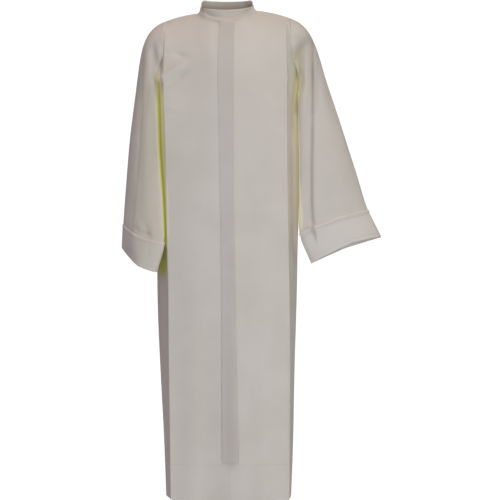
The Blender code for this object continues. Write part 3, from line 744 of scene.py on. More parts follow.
@dataclass(frozen=True)
class Pattern:
    """The sizes that the body's pieces share, and their form as coarse grids of points."""

    hem_z: float = -1.4375
    underarm_z: float = -0.200
    hem_depth: float = 0.108
    placket_half: float = 0.0255
    arm_rows: int = 13
    lower_rows: int = 12
    neck_columns: int = 4           # on the front, beside the strip
    shoulder_columns: int = 5
    face_columns: int = 8
    side_columns: int = 4
    back_columns: int = 13
    side_ease: float = 1.8
    back_round: float = 0.62        # how full the back's section is; 1 is an oval
    drape_ease: float = 1.6         # how soon the standing folds grow from the side seam
    chest_bow: float = -0.004       # how far the middle of the chest, and of the back, bows out
    back_bow: float = 0.006
    bow_round: float = 0.9          # below 1 it leaves the neck more steeply
    shoulder_arch: float = 0.0035
    evened_below: int = 4           # rows below the underarm that are evened as well
    level_passes: int = 3
    ease_passes: int = 6
    fold_leaves: float = 0.50       # share of the armhole, from the shoulder down, where the fold leaves it
    # above that it runs so far inside the armhole's seam, and stands so far forward of it
    fold_beside: dict[Side, float] = field(default_factory=lambda: {Side.RIGHT: 0.004, Side.LEFT: 0.013})
    fold_forward: dict[Side, float] = field(default_factory=lambda: {Side.RIGHT: 0.0, Side.LEFT: 0.020})
    fold_steps_out: float = 2.2     # how soon, down the armhole, it stands forward in full
    flat_share: float = 0.60        # how much of a front's fall from the closing to the fold is even
    rows: tuple[BodyRow, ...] = (
        BodyRow(-1.4375, 0.009, -0.143, 0.167, 0.182, -0.130, 0.186, 0.190, 0.004, 0.140),
        BodyRow(-1.280, 0.007, -0.143, 0.1695, 0.183, -0.124, 0.192, 0.196, 0.010, 0.140),
        BodyRow(-1.080, 0.004, -0.143, 0.172, 0.184, -0.119, 0.203, 0.200, 0.016, 0.140),
        BodyRow(-0.850, 0.002, -0.142, 0.1745, 0.183, -0.115, 0.213, 0.207, 0.024, 0.139),
        BodyRow(-0.660, -0.001, -0.141, 0.178, 0.179, -0.114, 0.214, 0.211, 0.032, 0.138),
        BodyRow(-0.450, -0.003, -0.139, 0.181, 0.1745, -0.113, 0.214, 0.219, 0.034, 0.137),
        BodyRow(-0.300, -0.005, -0.134, 0.1865, 0.1745, -0.111, 0.214, 0.219, 0.026, 0.134),
        BodyRow(-0.200, -0.006, -0.126, 0.193, 0.176, -0.104, 0.207, 0.211, 0.004, 0.128),
    )
    back_drapes: tuple[Drape, ...] = (
        Drape(Side.RIGHT, 0.70, 0.24, 0.016, -0.12, -0.95),
        Drape(Side.RIGHT, 0.40, 0.19, -0.013, -0.20, -1.10),
        Drape(Side.RIGHT, 0.16, 0.16, 0.011, -0.16, -1.00),
        Drape(Side.LEFT, 0.17, 0.17, -0.011, -0.24, -1.15),
        Drape(Side.LEFT, 0.43, 0.21, 0.015, -0.14, -0.90),
        Drape(Side.LEFT, 0.74, 0.22, -0.012, -0.22, -1.05),
    )
    front_drapes: tuple[Drape, ...] = (
        Drape(Side.RIGHT, 0.62, 0.30, 0.004, -0.20, -1.20),
        Drape(Side.LEFT, 0.55, 0.28, 0.005, -0.20, -1.20),
    )
    neck_x: float = -0.003
    neck_half: float = 0.087
    neck_front_y: float = -0.074
    neck_back_y: float = 0.066
    neck_front_z: float = -0.027
    neck_back_z: float = 0.016
    neck_side_z: dict[Side, float] = field(default_factory=lambda: {Side.RIGHT: 0.005, Side.LEFT: 0.014})
    armholes: dict[Side, Armhole] = field(default_factory=lambda: {
        Side.RIGHT: Armhole(-0.190, -0.0195, -0.191, -0.207, -0.200, -0.082, 0.086, 0.004),
        Side.LEFT: Armhole(0.187, -0.0090, 0.186, 0.211, -0.200, -0.068, 0.086, 0.004),
    })

    @property
    def fold_column(self) -> int:
        """The column of a front at its side fold, beyond the strip's two."""
        return 2 + self.face_columns

    def row_at(self, z: float) -> BodyRow:
        """The body's table read at height z."""
        heights = [row.z for row in self.rows]
        at = np.interp(z, heights, range(len(heights)))
        return BodyRow(*read_rows(np.array(self.rows), np.array([at]), heights)[0])

    def half_widths(self, row: BodyRow, side: Side) -> tuple[float, float]:
        """The x of the side fold and of the side seam in one row."""
        fold, seam = (row.fold_l, row.seam_l) if side is Side.LEFT else (row.fold_r, row.seam_r)
        return side.value * fold, side.value * seam

    @staticmethod
    def drape(drapes: Sequence[Drape], side: Side, across: np.ndarray, z: float) -> np.ndarray:
        """How far the standing folds push the cloth out."""
        return sum(d.depth * ease((d.top - z) / (d.top - d.full)) * bump(across, d.across, d.width)
                   for d in drapes if d.side is side)

    def front_row(self, side: Side, z: float) -> np.ndarray:
        """One level row of a front panel, from the closing round the side fold to the side seam."""
        row = self.row_at(z)
        fold, seam = self.half_widths(row, side)
        edge = side.value * self.placket_half
        face = np.linspace(row.centre + edge, fold, self.face_columns + 1)
        face = np.concatenate([[row.centre, row.centre + edge / 2.0], face])
        across = (face - row.centre) / (fold - row.centre)
        fall = self.flat_share * across + (1.0 - self.flat_share) * across ** 3.0
        depth = row.front + (row.fold_y - row.front) * fall - self.drape(self.front_drapes, side, across, z)
        share = np.arange(1, self.side_columns + 1) / self.side_columns
        beside = fold + (seam - fold) * np.sin(share * np.pi / 2.0) ** self.side_ease
        x = np.concatenate([face, beside])
        y = np.concatenate([depth, row.fold_y + (row.seam_y - row.fold_y) * share])
        return np.stack([x, y, np.full_like(x, z)], axis=1)

    def back_row(self, side: Side, z: float) -> np.ndarray:
        """One level row of half the back, from its middle to the side seam."""
        row = self.row_at(z)
        seam = self.half_widths(row, side)[1]
        share = np.arange(self.back_columns + 1) / self.back_columns
        angle = (1.0 - share) * np.pi / 2.0
        x = row.centre + (seam - row.centre) * np.cos(angle) ** self.back_round
        y = row.seam_y + (row.back - row.seam_y) * np.sin(angle) ** self.back_round
        y += self.drape(self.back_drapes, side, share, z) * ease(np.sin(angle) * self.drape_ease)
        return np.stack([x, y, np.full_like(x, z)], axis=1)

    def neck_point(self, side: Side, turn: float) -> np.ndarray:
        """A point of the neck seam; turn 0 is the front, 90 the shoulder seam, 180 the back."""
        angle = math.radians(turn)
        depth, level = ((self.neck_front_y, self.neck_front_z) if turn <= 90
                        else (-self.neck_back_y, self.neck_back_z))
        beside = self.neck_side_z[side]
        z = beside + (level - beside) * math.cos(angle) ** 2
        x = self.neck_x + side.value * self.neck_half * math.sin(angle)
        return np.array((x, depth * math.cos(angle), z))

    def armhole_point(self, side: Side, turn: float) -> np.ndarray:
        """A point of an armhole; turn 0 is the shoulder seam, 90 the front, 180 the underarm."""
        hole, angle = self.armholes[side], math.radians(turn)
        down = (1.0 - math.cos(angle)) / 2.0
        z = hole.top_z + (hole.under_z - hole.top_z) * down
        reach = hole.front_y if math.sin(angle) >= 0 else -hole.back_y
        y = hole.middle_y + (reach - math.copysign(hole.middle_y, reach)) * math.sin(angle)
        x = (hole.top_x + (hole.waist_x - hole.top_x) * ease(down * 2.0)
             + (hole.under_x - hole.waist_x) * ease(down * 2.0 - 1.0))
        return np.array((x, y, z))

    def neck_turns(self, front: bool) -> list[float]:
        """Where the columns of a front or of half the back meet the neck seam, outwards."""
        if front:
            strip = math.degrees(math.asin(self.placket_half / self.neck_half))
            return [0.0, strip / 2.0] + list(np.linspace(strip, 90.0, self.neck_columns + 1))
        return list(np.linspace(180.0, 90.0, self.back_columns - self.shoulder_columns + 1))

    def shoulder_point(self, side: Side, share: float) -> np.ndarray:
        """A point of a shoulder seam, 0 at the neck and 1 at the armhole, gently arched."""
        start, end = self.neck_point(side, 90), self.armhole_point(side, 0)
        arch = self.shoulder_arch * math.sin(share * math.pi)
        return start + (end - start) * share + np.array((0.0, 0.0, arch))

    def middle_line(self, top: np.ndarray, bottom: np.ndarray, front: bool) -> np.ndarray:
        """The line down the middle of the chest or of the back, from the neck to underarm height."""
        shares = np.arange(self.arm_rows + 1)[:, None] / self.arm_rows
        line = top + (bottom - top) * shares
        rise = np.sin(shares[:, 0] * np.pi / 2.0) ** self.bow_round
        bow = (self.chest_bow if front else self.back_bow) * np.sin(shares[:, 0] * np.pi)
        line[:, 1] = top[1] + (bottom[1] - top[1]) * rise + bow
        return line

    def arm_line(self, side: Side, front: bool) -> np.ndarray:
        """Half the armhole, from the shoulder seam down to the underarm."""
        sign = 1.0 if front else -1.0
        return np.array([self.armhole_point(side, sign * 180.0 * row / self.arm_rows)
                         for row in range(self.arm_rows + 1)])

    def fold_line(self, side: Side, arm: np.ndarray, middle: np.ndarray, foot: np.ndarray) -> np.ndarray:
        """The front's side fold above the underarm: it runs up close beside the armhole's seam."""
        inward = middle - arm
        inward[:, 2] = 0.0
        line = arm + unit(inward) * self.fold_beside[side]
        down = np.arange(len(line)) / self.arm_rows
        line[:, 1] -= self.fold_forward[side] * ease(down * self.fold_steps_out)
        start = round(self.fold_leaves * self.arm_rows)
        for row in range(start + 1, len(line)):
            share = (row - start) / (self.arm_rows - start)
            line[row] = line[start] + (foot - line[start]) * share
        return line

    def front_panel(self, side: Side) -> np.ndarray:
        """A front panel, from the closing to the side seam and from the neck to the hem."""
        fold = self.fold_column
        bottom, arm = self.front_row(side, self.underarm_z), self.arm_line(side, True)
        bottom[-1] = arm[-1]
        neck = [self.neck_point(side, turn) for turn in self.neck_turns(True)]
        middle = self.middle_line(neck[0], bottom[0], True)
        line = self.fold_line(side, arm, middle, bottom[fold])
        reach = 1.0 - np.linalg.norm(line[0] - arm[0]) / np.linalg.norm(arm[0] - neck[-1])
        shares = np.linspace(0.0, reach, fold + 2 - len(neck))[1:]
        face_top = np.array(neck + [self.shoulder_point(side, share) for share in shares])
        side_top = np.array([self.shoulder_point(side, share)
                             for share in np.linspace(reach, 1.0, self.side_columns + 1)])
        line[0] = face_top[-1]
        face = self.spread(face_top, bottom[:fold + 1], middle, line)
        beside = self.spread(side_top, bottom[fold:], line, arm)
        lower = self.lower_part(self.front_row, side)
        whole = np.concatenate([np.concatenate([face, beside[:, 1:]], axis=1), lower])
        return self.evened(whole, slice(1, fold - 1), slice(4, fold - 1))

    def back_panel(self, side: Side) -> np.ndarray:
        """Half the back, from its middle to the side seam and from the neck to the hem."""
        bottom, arm = self.back_row(side, self.underarm_z), self.arm_line(side, False)
        bottom[-1] = arm[-1]
        top = [self.neck_point(side, turn) for turn in self.neck_turns(False)]
        top += [self.shoulder_point(side, step / self.shoulder_columns)
                for step in range(1, self.shoulder_columns + 1)]
        middle = self.middle_line(top[0], bottom[0], False)
        upper = self.spread(np.array(top), bottom, middle, arm)
        whole = np.concatenate([upper, self.lower_part(self.back_row, side)])
        return self.evened(whole, slice(1, -1), slice(2, -1))

    def lower_part(self, row_of: Callable[[Side, float], np.ndarray], side: Side) -> np.ndarray:
        """The rows of a panel below underarm height, down to the hem."""
        heights = np.linspace(self.underarm_z, self.hem_z, self.lower_rows + 1)[1:]
        return np.array([row_of(side, z) for z in heights])

    @staticmethod
    def spread(top: np.ndarray, bottom: np.ndarray, inner: np.ndarray, outer: np.ndarray) -> np.ndarray:
        """The smooth surface between four edge curves, as rows and columns of points."""
        v = np.linspace(0.0, 1.0, len(inner))[:, None, None]
        u = np.linspace(0.0, 1.0, len(top))[None, :, None]
        along = (1 - v) * top[None] + v * bottom[None]
        beside = (1 - u) * inner[:, None] + u * outer[:, None]
        return along + beside - ((1 - v) * ((1 - u) * top[0] + u * top[-1])
                                 + v * ((1 - u) * bottom[0] + u * bottom[-1]))

    def evened(self, points: np.ndarray, across: slice, spaced: slice) -> np.ndarray:
        """A panel evened out over the chest and across underarm height; its seams stay.

        Args:
            points: The panel's grid of points.
            across: The columns that are evened sideways too, in depth and height.
            spaced: The columns whose distances from each other are evened as well.

        Returns:
            The evened grid.
        """
        points = points.copy()
        last = self.arm_rows + self.evened_below
        high = (1.0 - np.arange(1, last) / self.arm_rows).clip(0.0, 1.0)[:, None, None]
        for _ in range(self.ease_passes):
            points[1:last, :-1] = averaged(points[:last + 1], 0)[:, :-1]
            for _ in range(self.level_passes):
                move = np.zeros_like(points[1:last])
                move[:, 1:-1] = (averaged(points[1:last], 1) - points[1:last, 1:-1]) * high
                points[1:last, across, 1:] += move[:, across, 1:]
                points[1:last, spaced, 0] += move[:, spaced, 0]
        return points


PATTERN = Pattern()


@dataclass(frozen=True)
class Cut:
    """The flat cloth that a piece was cut from: its width and length, and its area, in metres."""

    width: float
    length: float
    area: float


def settle(thing: bpy.types.Object, node: str,
           sewn: Sequence[bpy.types.Object] = ()) -> bpy.types.Object:
    """Put a finished piece of cloth in the frame.

    Args:
        thing: The piece.
        node: The solid that it stands for.
        sewn: Separate pieces on it, such as its stitches.

    Returns:
        The piece.
    """
    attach(thing, "root")
    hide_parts(node)
    for extra in sewn:
        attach(extra, "root")
    return thing


# ---------------------------------------------------------------- sewing
@dataclass
class StitchRow:
    """A row of lock stitches along a line on the cloth."""

    name: str
    line: np.ndarray                # points on the cloth, close together
    out: np.ndarray                 # the cloth's normals there
    pitch: float = 0.0046
    long: float = 0.0034
    thick: float = 0.00042          # drawn a little thicker than real thread, so that it shows
    flat: float = 0.8               # its height as a share of that
    proud: float = 0.35             # how far its middle stands out of the cloth, as a share of that

    def build(self) -> bpy.types.Object:
        """Make the stitches, each a slim bead let halfway into the cloth, as one object."""
        runs = runs_along(self.line)
        mesh = bmesh.new()
        for start in np.arange(self.pitch / 2.0, runs[-1] - self.long, self.pitch):
            first, last = read_line(np.array((start, start + self.long)), runs, self.line)
            out = unit(read_line(start, runs, self.out))
            along = unit(last - first)
            side = unit(np.cross(out, along))
            turn = Matrix(np.array([along, side, np.cross(along, side)]).T.tolist()).to_4x4()
            place = Matrix.Translation(Vector((first + last) / 2.0 + out * self.thick * self.proud))
            size = Matrix.Diagonal((self.long / 2.0, self.thick, self.thick * self.flat, 1.0))
            bmesh.ops.create_uvsphere(mesh, u_segments=6, v_segments=4, radius=1.0,
                                      matrix=place @ turn @ size)
        for face in mesh.faces:
            face.smooth = True
        bmesh.ops.recalc_face_normals(mesh, faces=mesh.faces)
        return finished(mesh, self.name, THREAD.make())


# ---------------------------------------------------------------- the body: two fronts and the back
@dataclass
class Body:
    """The two front panels and the back, with their seams, side folds and turned-up hem."""

    folds: tuple[Fold | Pleat, ...]
    wall: float = 0.0010
    hem_roll: float = 0.0013
    stitch_below: float = 0.004     # how far the hem's stitches lie below the upper edge inside it
    ripple: float = 0.0007
    seam: tuple[float, float] = (0.0005, 0.0045)    # how deep and how wide the cloth is drawn in
    seam_fade: float = 0.030
    arm_steps: int = 5
    lower_steps: int = 18
    strip_steps: int = 3
    column_steps: int = 6
    inner_steps: int = 5            # between the columns of the back below the neck
    fold_passes: int = 3            # how often the side fold is softened
    fold_reach: int = 2             # and how many columns to each side of it
    front_cut: Cut = Cut(0.36, 1.55, 0.50)
    back_cut: Cut = Cut(0.62, 1.58, 0.90)
    sheets: dict[str, Sheet] = field(default_factory=dict)

    @property
    def rows(self) -> np.ndarray:
        """The rows that all three panels are read at, so that they meet along the side seams."""
        steps = [self.arm_steps] * PATTERN.arm_rows + [self.lower_steps] * PATTERN.lower_rows
        return between_lines(steps, fine_at=(0,))

    @property
    def arm_lines(self) -> np.ndarray:
        """The rows that lie beside an armhole."""
        return self.rows[self.rows <= PATTERN.arm_rows]

    def relief(self, sheet: Sheet, across: np.ndarray) -> Sheet:
        """The sheet with its folds, its faint unevenness and its seams, `across` from a side seam."""
        from_seams = np.minimum(sheet.run_down(), across)
        heights = ripple(sheet.points, self.ripple) * ease(from_seams / self.seam_fade)
        return sheet.raised(sheet.folded(heights, self.folds) + seam_dip(from_seams, *self.seam))

    def front(self, side: Side) -> Sheet:
        """One front panel, from the closing to the side seam."""
        fold = PATTERN.fold_column
        steps = [self.strip_steps] * 2 + [self.column_steps] * (PATTERN.face_columns + PATTERN.side_columns)
        columns = between_lines(steps, fine_at=(fold, len(steps)))
        sheet = Sheet(PATTERN.front_panel(side), turn=side.value).finer(self.rows, columns, breaks=(fold,))
        line = int(np.searchsorted(columns, fold))
        first, last = line - self.fold_reach, line + self.fold_reach + 1
        for _ in range(self.fold_passes):
            sheet.points[:, first:last] = averaged(sheet.points[:, first - 1:last + 1], 1)
        across = sheet.run_across()
        return self.relief(sheet, across[:, -1:] - across)

    def back(self) -> Sheet:
        """The whole back, from the right side seam to the left one."""
        right, left = (PATTERN.back_panel(side) for side in Side)
        coarse = Sheet(np.concatenate([right[:, ::-1], left[:, 1:]], axis=1), turn=-1.0)
        inner = PATTERN.back_columns - PATTERN.shoulder_columns
        half = [self.column_steps] * PATTERN.shoulder_columns + [self.inner_steps] * inner
        sheet = coarse.finer(self.rows, between_lines(half + half[::-1], fine_at=(0, 2 * len(half))))
        across = sheet.run_across()
        return self.relief(sheet, np.minimum(across, across[:, -1:] - across))

    def draw(self) -> None:
        """Work out the three sheets, and make the back share the fronts' edges along the seams."""
        self.sheets = {side.word: self.front(side) for side in Side} | {"back": self.back()}
        lower = len(self.arm_lines) - 1
        for column, side in ((0, "right"), (-1, "left")):
            self.sheets["back"].points[lower:, column] = self.sheets[side].points[lower:, -1]

    def armhole(self, side: Side) -> np.ndarray:
        """The armhole's edge all round: down the front from the shoulder seam and up the back."""
        count = len(self.arm_lines)
        front = self.sheets[side.word].points[:count, -1]
        back = self.sheets["back"].points[:count, -1 if side is Side.LEFT else 0]
        return np.concatenate([front, back[-2:0:-1]])

    def build(self) -> list[bpy.types.Object]:
        """Make the three panels with their hems and stitches, and dress them."""
        self.draw()
        made = []
        for key, sheet in self.sheets.items():
            name, cut, hangs = f"front_{key}", self.front_cut, ["cloth_collar", "cloth_back"]
            if key == "back":
                name, cut, hangs = key, self.back_cut, ["cloth_collar"]
            hemmed = sheet.turned_under(PATTERN.hem_depth, self.hem_roll)
            thing = hemmed.make(f"cloth_{name}", IVORY, self.wall)
            row = nearest(sheet.points[:, 0, 2], PATTERN.hem_z + PATTERN.hem_depth - self.stitch_below)
            stitches = sheet.stitched(f"hem_stitches_{name}", row)
            made.append(settle(thing, name, [stitches]))
        return made


# ---------------------------------------------------------------- sleeves and cuffs
class Section(NamedTuple):
    """A sleeve's section by its outer, front, inner and back corners; fullness 2 is oval."""

    outer: Spot
    front: Spot
    inner: Spot
    back: Spot
    fullness: float


class Crease(NamedTuple):
    """A long crease down a sleeve, by its angle round the section, width and depth inwards."""

    angle: float
    width: float
    depth: float


@dataclass
class Sleeve:
    """One sleeve, from its armhole to its end inside the cuff, and its turned-back cuff."""

    side: Side
    body: Body
    sections: tuple[Section, ...]
    creases: tuple[Crease, ...]
    folds: tuple[Fold | Pleat, ...]
    wall: float = 0.0010
    cap_rows: int = 6
    section_rows: int = 3
    cap_steps: int = 9
    row_steps: int = 10
    close_columns: tuple[float, float] = (4.4, 13.0)    # the front's creases lie between these
    # at the underarm, and how much more at the shoulder: the cap's way out and its way down where it
    # leaves the armhole, how far it holds that way, and how far it comes straight into the first section
    cap: Line = ((0.10, 0.82), (-1.0, 0.615), (0.050, 0.028), (0.55, 0.40))
    cap_fade: float = 0.022         # the folds begin so far from the armhole
    arm_seam: tuple[float, float] = (0.0004, 0.0050)
    under_seam: tuple[float, float] = (0.0007, 0.0020)
    cuff_lead: tuple[float, ...] = (-0.002, -0.001)     # rows above the cuff, for smooth normals alone
    cuff_row_gap: float = 0.0025
    cuff_beside: float = 0.45       # the share of its profile that the cuff keeps where it faces sideways
    cuff_column_steps: int = 9
    end_short: float = 0.0035       # how far the sleeve's own edge stops above the cuff's fold
    ripple: float = 0.0007
    cuff_ripple: float = 0.6        # as a share of that
    cuff_roll: float = 0.0016
    cuff_inside: float = 0.045
    stitch_up: float = 0.011        # height of the cuff's stitched line above its lower edge
    # the cuff's face by distance from its sewn edge: rolled top edge, stitched groove, then flat
    cuff_profile: Line = (
        (0.0, 0.0004), (0.0010, 0.0018), (0.0022, 0.0034), (0.0036, 0.0048), (0.0050, 0.0054),
        (0.0063, 0.0052), (0.0075, 0.0041), (0.0087, 0.0024), (0.0099, 0.0010), (0.0112, 0.0004),
        (0.0128, 0.0006), (0.0150, 0.0016), (0.0180, 0.0026), (0.0220, 0.0030), (0.3, 0.0030))
    sleeve_cut: Cut = Cut(0.52, 0.70, 0.30)
    cuff_cut: Cut = Cut(0.50, 0.14, 0.06)

    def ring(self, section: Section, count: int) -> np.ndarray:
        """The points round one section, starting at the outer edge and passing the front."""
        corners = np.array(section[:4])
        centre, power = corners.mean(axis=0), 2.0 / section.fullness
        turns = np.arange(count) * 360.0 / count
        quarter = (turns // 90.0).astype(int)
        angle = np.radians(turns - 90.0 * quarter)[:, None]
        near, far = corners[quarter] - centre, corners[(quarter + 1) % 4] - centre
        points = centre + near * np.cos(angle) ** power + far * np.sin(angle) ** power
        for crease in self.creases:
            dent = crease.depth * bump(turns, crease.angle, crease.width)
            points += unit(centre - points) * dent[:, None]
        return points

    def coarse(self) -> Sheet:
        """Rings of points from the armhole to the sleeve's end."""
        count = 2 * PATTERN.arm_rows
        turns = np.arange(count) * 360.0 / count
        hole = np.array([PATTERN.armhole_point(self.side, turn) for turn in turns])
        sections = np.array([self.ring(section, count) for section in self.sections])
        outward = (1.0 + np.cos(np.radians(turns))) / 2.0
        out, down, hold, straight = (low + more * outward for low, more in self.cap)
        leave = unit(np.stack([self.side.value * out, 0.0 * turns, down], axis=1)) * hold[:, None]
        arrive = (sections[1] - sections[0]) * straight[:, None]
        rings = []
        for t in np.arange(self.cap_rows) / self.cap_rows:
            rings.append((1 - t) ** 3 * hole + 3 * (1 - t) ** 2 * t * (hole + leave)
                         + 3 * (1 - t) * t ** 2 * (sections[0] - arrive) + t ** 3 * sections[0])
        at = np.arange((len(sections) - 1) * self.section_rows + 1) / self.section_rows
        lower = read_rows(sections, at, np.arange(len(sections)))
        return Sheet(np.concatenate([rings, lower]), closed=True, turn=-self.side.value)

    def relief(self, sheet: Sheet, seam: int) -> Sheet:
        """The sheet with its folds, unevenness, drawn-in armhole and underarm seam."""
        down, across = sheet.run_down(), sheet.run_across()
        beside = np.abs(across - across[:, seam:seam + 1])
        heights = sheet.folded(ripple(sheet.points, self.ripple), self.folds) * ease(down / self.cap_fade)
        return sheet.raised(heights + seam_dip(down, *self.arm_seam) + seam_dip(beside, *self.under_seam))

    def draw(self) -> Sheet:
        """The sleeve's cloth, its first ring on the armhole's edge."""
        arm = self.body.arm_lines
        columns = np.concatenate([arm, 2 * PATTERN.arm_rows - arm[-2::-1]])
        hole = self.body.armhole(self.side)
        middles = (columns[:-1] + columns[1:]) / 2.0
        close = (middles > self.close_columns[0]) & (middles < self.close_columns[1])
        finer = np.sort(np.concatenate([columns, middles[close]]))
        edge = read_line(finer[:-1], columns, np.concatenate([hole, hole[:1]]))
        coarse = self.coarse()
        below = len(coarse.points) - 1 - self.cap_rows
        steps = [self.cap_steps] * self.cap_rows + [self.row_steps] * below
        sheet = coarse.finer(between_lines(steps, fine_at=(0,)), finer)
        sheet.points[0] = edge
        sheet = self.relief(sheet, int(np.searchsorted(finer, PATTERN.arm_rows)))
        sheet.points[0] = edge
        left = sheet.run_down()
        inside = (left[-1:] - left).min(axis=1) > self.end_short
        return replace(sheet, points=sheet.points[inside])

    def draw_cuff(self) -> Sheet:
        """The cuff's face, from its rolled upper edge down to the fold at the end."""
        coarse = self.coarse()
        last = replace(coarse, points=coarse.points[-2 - self.section_rows:])
        stations = stations_of(last.points)
        length = stations[-1] - stations[1]
        drops = [drop for drop, _ in self.cuff_profile[:-1]]
        even = np.arange(drops[-1] + self.cuff_row_gap, length, self.cuff_row_gap)
        drops = np.concatenate([self.cuff_lead, drops, even, [length]])
        rows = np.interp(stations[1] + drops, stations, np.arange(len(stations)))
        whole = last.finer(rows, between_lines([self.cuff_column_steps] * (2 * PATTERN.arm_rows)))
        first, down = len(self.cuff_lead), whole.run_down()
        keeps = self.cuff_beside + (1.0 - self.cuff_beside) * np.abs(whole.normals()[..., 1])
        lift = np.interp(down - down[first:first + 1], *zip(*self.cuff_profile)) * keeps
        lift = whole.folded(lift + ripple(whole.points, self.ripple * self.cuff_ripple), self.folds)
        return replace(whole, points=whole.raised(lift).points[first:])

    def build(self) -> list[bpy.types.Object]:
        """Make the sleeve and its cuff, and dress them."""
        name = self.side.word
        sleeve = self.draw().make(f"cloth_sleeve_{name}", IVORY, self.wall)
        settle(sleeve, f"sleeve_{name}")
        face = self.draw_cuff()
        down = face.run_down()[:, 0]
        stitches = face.stitched(f"cuff_stitches_{name}", nearest(down, down[-1] - self.stitch_up))
        lined = face.turned_under(self.cuff_inside, self.cuff_roll)
        cuff = lined.make(f"cloth_cuff_{name}", IVORY_DOUBLE, self.wall)
        settle(cuff, f"cuff_{name}", [stitches])
        return [sleeve, cuff]


# ---------------------------------------------------------------- collar
@dataclass
class Collar:
    """The stand collar: two layers and a stiffener, with a rolled upper edge."""

    front: float = 0.0355
    back: float = 0.031
    thick: float = 0.0026
    back_ease: float = 2.2
    wall: float = 0.0008
    tuck: float = 0.004             # how far it reaches down behind the neck seam
    tuck_in: float = 0.0018         # and how far inside it
    rim_side_z: dict[Side, float] = field(default_factory=lambda: {Side.RIGHT: 0.024, Side.LEFT: 0.031})
    # the outer face from the neck seam up: share of the height, and how far in from the neck seam at
    # the turns of `profile_at`; it leans back, then out again below the rim
    profile_at: tuple[float, ...] = (0.0, 38.0, 80.0)
    profile: tuple[tuple[float, ...], ...] = (
        (0.0, 0.0, 0.0, 0.0), (0.10, 0.0058, 0.0058, 0.0018), (0.20, 0.0100, 0.0100, 0.0032),
        (0.32, 0.0134, 0.0136, 0.0044), (0.44, 0.0148, 0.0148, 0.0053), (0.56, 0.0143, 0.0138, 0.0061),
        (0.70, 0.0128, 0.0112, 0.0069), (0.84, 0.0112, 0.0084, 0.0077), (0.93, 0.0104, 0.0070, 0.0083))
    corner_turn: float = -57.0      # a soft upright fold where the collar turns to the wearer's right
    corner_width: float = 8.0
    corner_depth: float = 0.0016
    row_steps: int = 2
    column_steps: int = 8
    cut: Cut = Cut(0.50, 0.075, 0.034)

    def rim(self, side: Side, turn: float) -> float:
        """Height of the upper edge: low at the front, rising evenly, then level round the back."""
        facing, beside = math.cos(math.radians(turn)), self.rim_side_z[side]
        if facing >= 0.0:
            return beside + (PATTERN.neck_front_z + self.front - beside) * facing
        share = math.sin(min(1.0, -facing * self.back_ease) * math.pi / 2.0)
        return beside + (PATTERN.neck_back_z + self.back - beside) * share

    def stations(self) -> list[tuple[Side, float]]:
        """Places all round the neck seam, from the front by the wearer's left."""
        half = PATTERN.neck_turns(True) + PATTERN.neck_turns(False)[-2::-1]
        return [(Side.LEFT, turn) for turn in half] + [(Side.RIGHT, turn) for turn in half[-2:0:-1]]

    def draw(self) -> Sheet:
        """The collar as one sheet: down its inside from the neck, over the rim and down outside."""
        rings = []
        roll, up = self.thick / 2.0, np.array((0.0, 0.0, 1.0))
        for side, turn in self.stations():
            base = PATTERN.neck_point(side, turn)
            inward = unit(np.array((PATTERN.neck_x - base[0], -base[1], 0.0)))
            height = self.rim(side, turn) - base[2] - roll
            face = [(share, np.interp(turn, self.profile_at, shrinks)) for share, *shrinks in self.profile]
            outside, inside = (
                [base + inward * (shrink + deeper) + up * height * share for share, shrink in face]
                for deeper in (0.0, self.thick))
            top = base + inward * (face[-1][1] + roll) + up * height
            over = [top + inward * roll * math.cos(angle) + up * roll * math.sin(angle)
                    for angle in np.radians((20.0, 55.0, 90.0, 125.0, 160.0))]
            foot = base + inward * self.tuck_in - up * self.tuck
            rings.append([*inside, *over, *outside[::-1], foot])
        return Sheet(np.array(rings).transpose(1, 0, 2), closed=True)

    def cornered(self, sheet: Sheet) -> Sheet:
        """The collar with the upright fold at its corner."""
        x, y = sheet.points[..., 0] - PATTERN.neck_x, sheet.points[..., 1]
        turns = np.degrees(np.arctan2(x, -y))
        dent = self.corner_depth * bump(turns, self.corner_turn, self.corner_width)
        inward = unit(np.stack([-x, -y, 0.0 * x], axis=-1))
        return replace(sheet, points=sheet.points + inward * dent[..., None])

    def build(self) -> list[bpy.types.Object]:
        """Make the collar and dress it."""
        coarse = self.draw()
        rows, columns = (between_lines([steps] * spaces) for steps, spaces in (
            (self.row_steps, len(coarse.points) - 1), (self.column_steps, coarse.points.shape[1])))
        thing = self.cornered(coarse.finer(rows, columns)).make("cloth_collar", IVORY_STIFF, self.wall)
        return [settle(thing, "collar")]


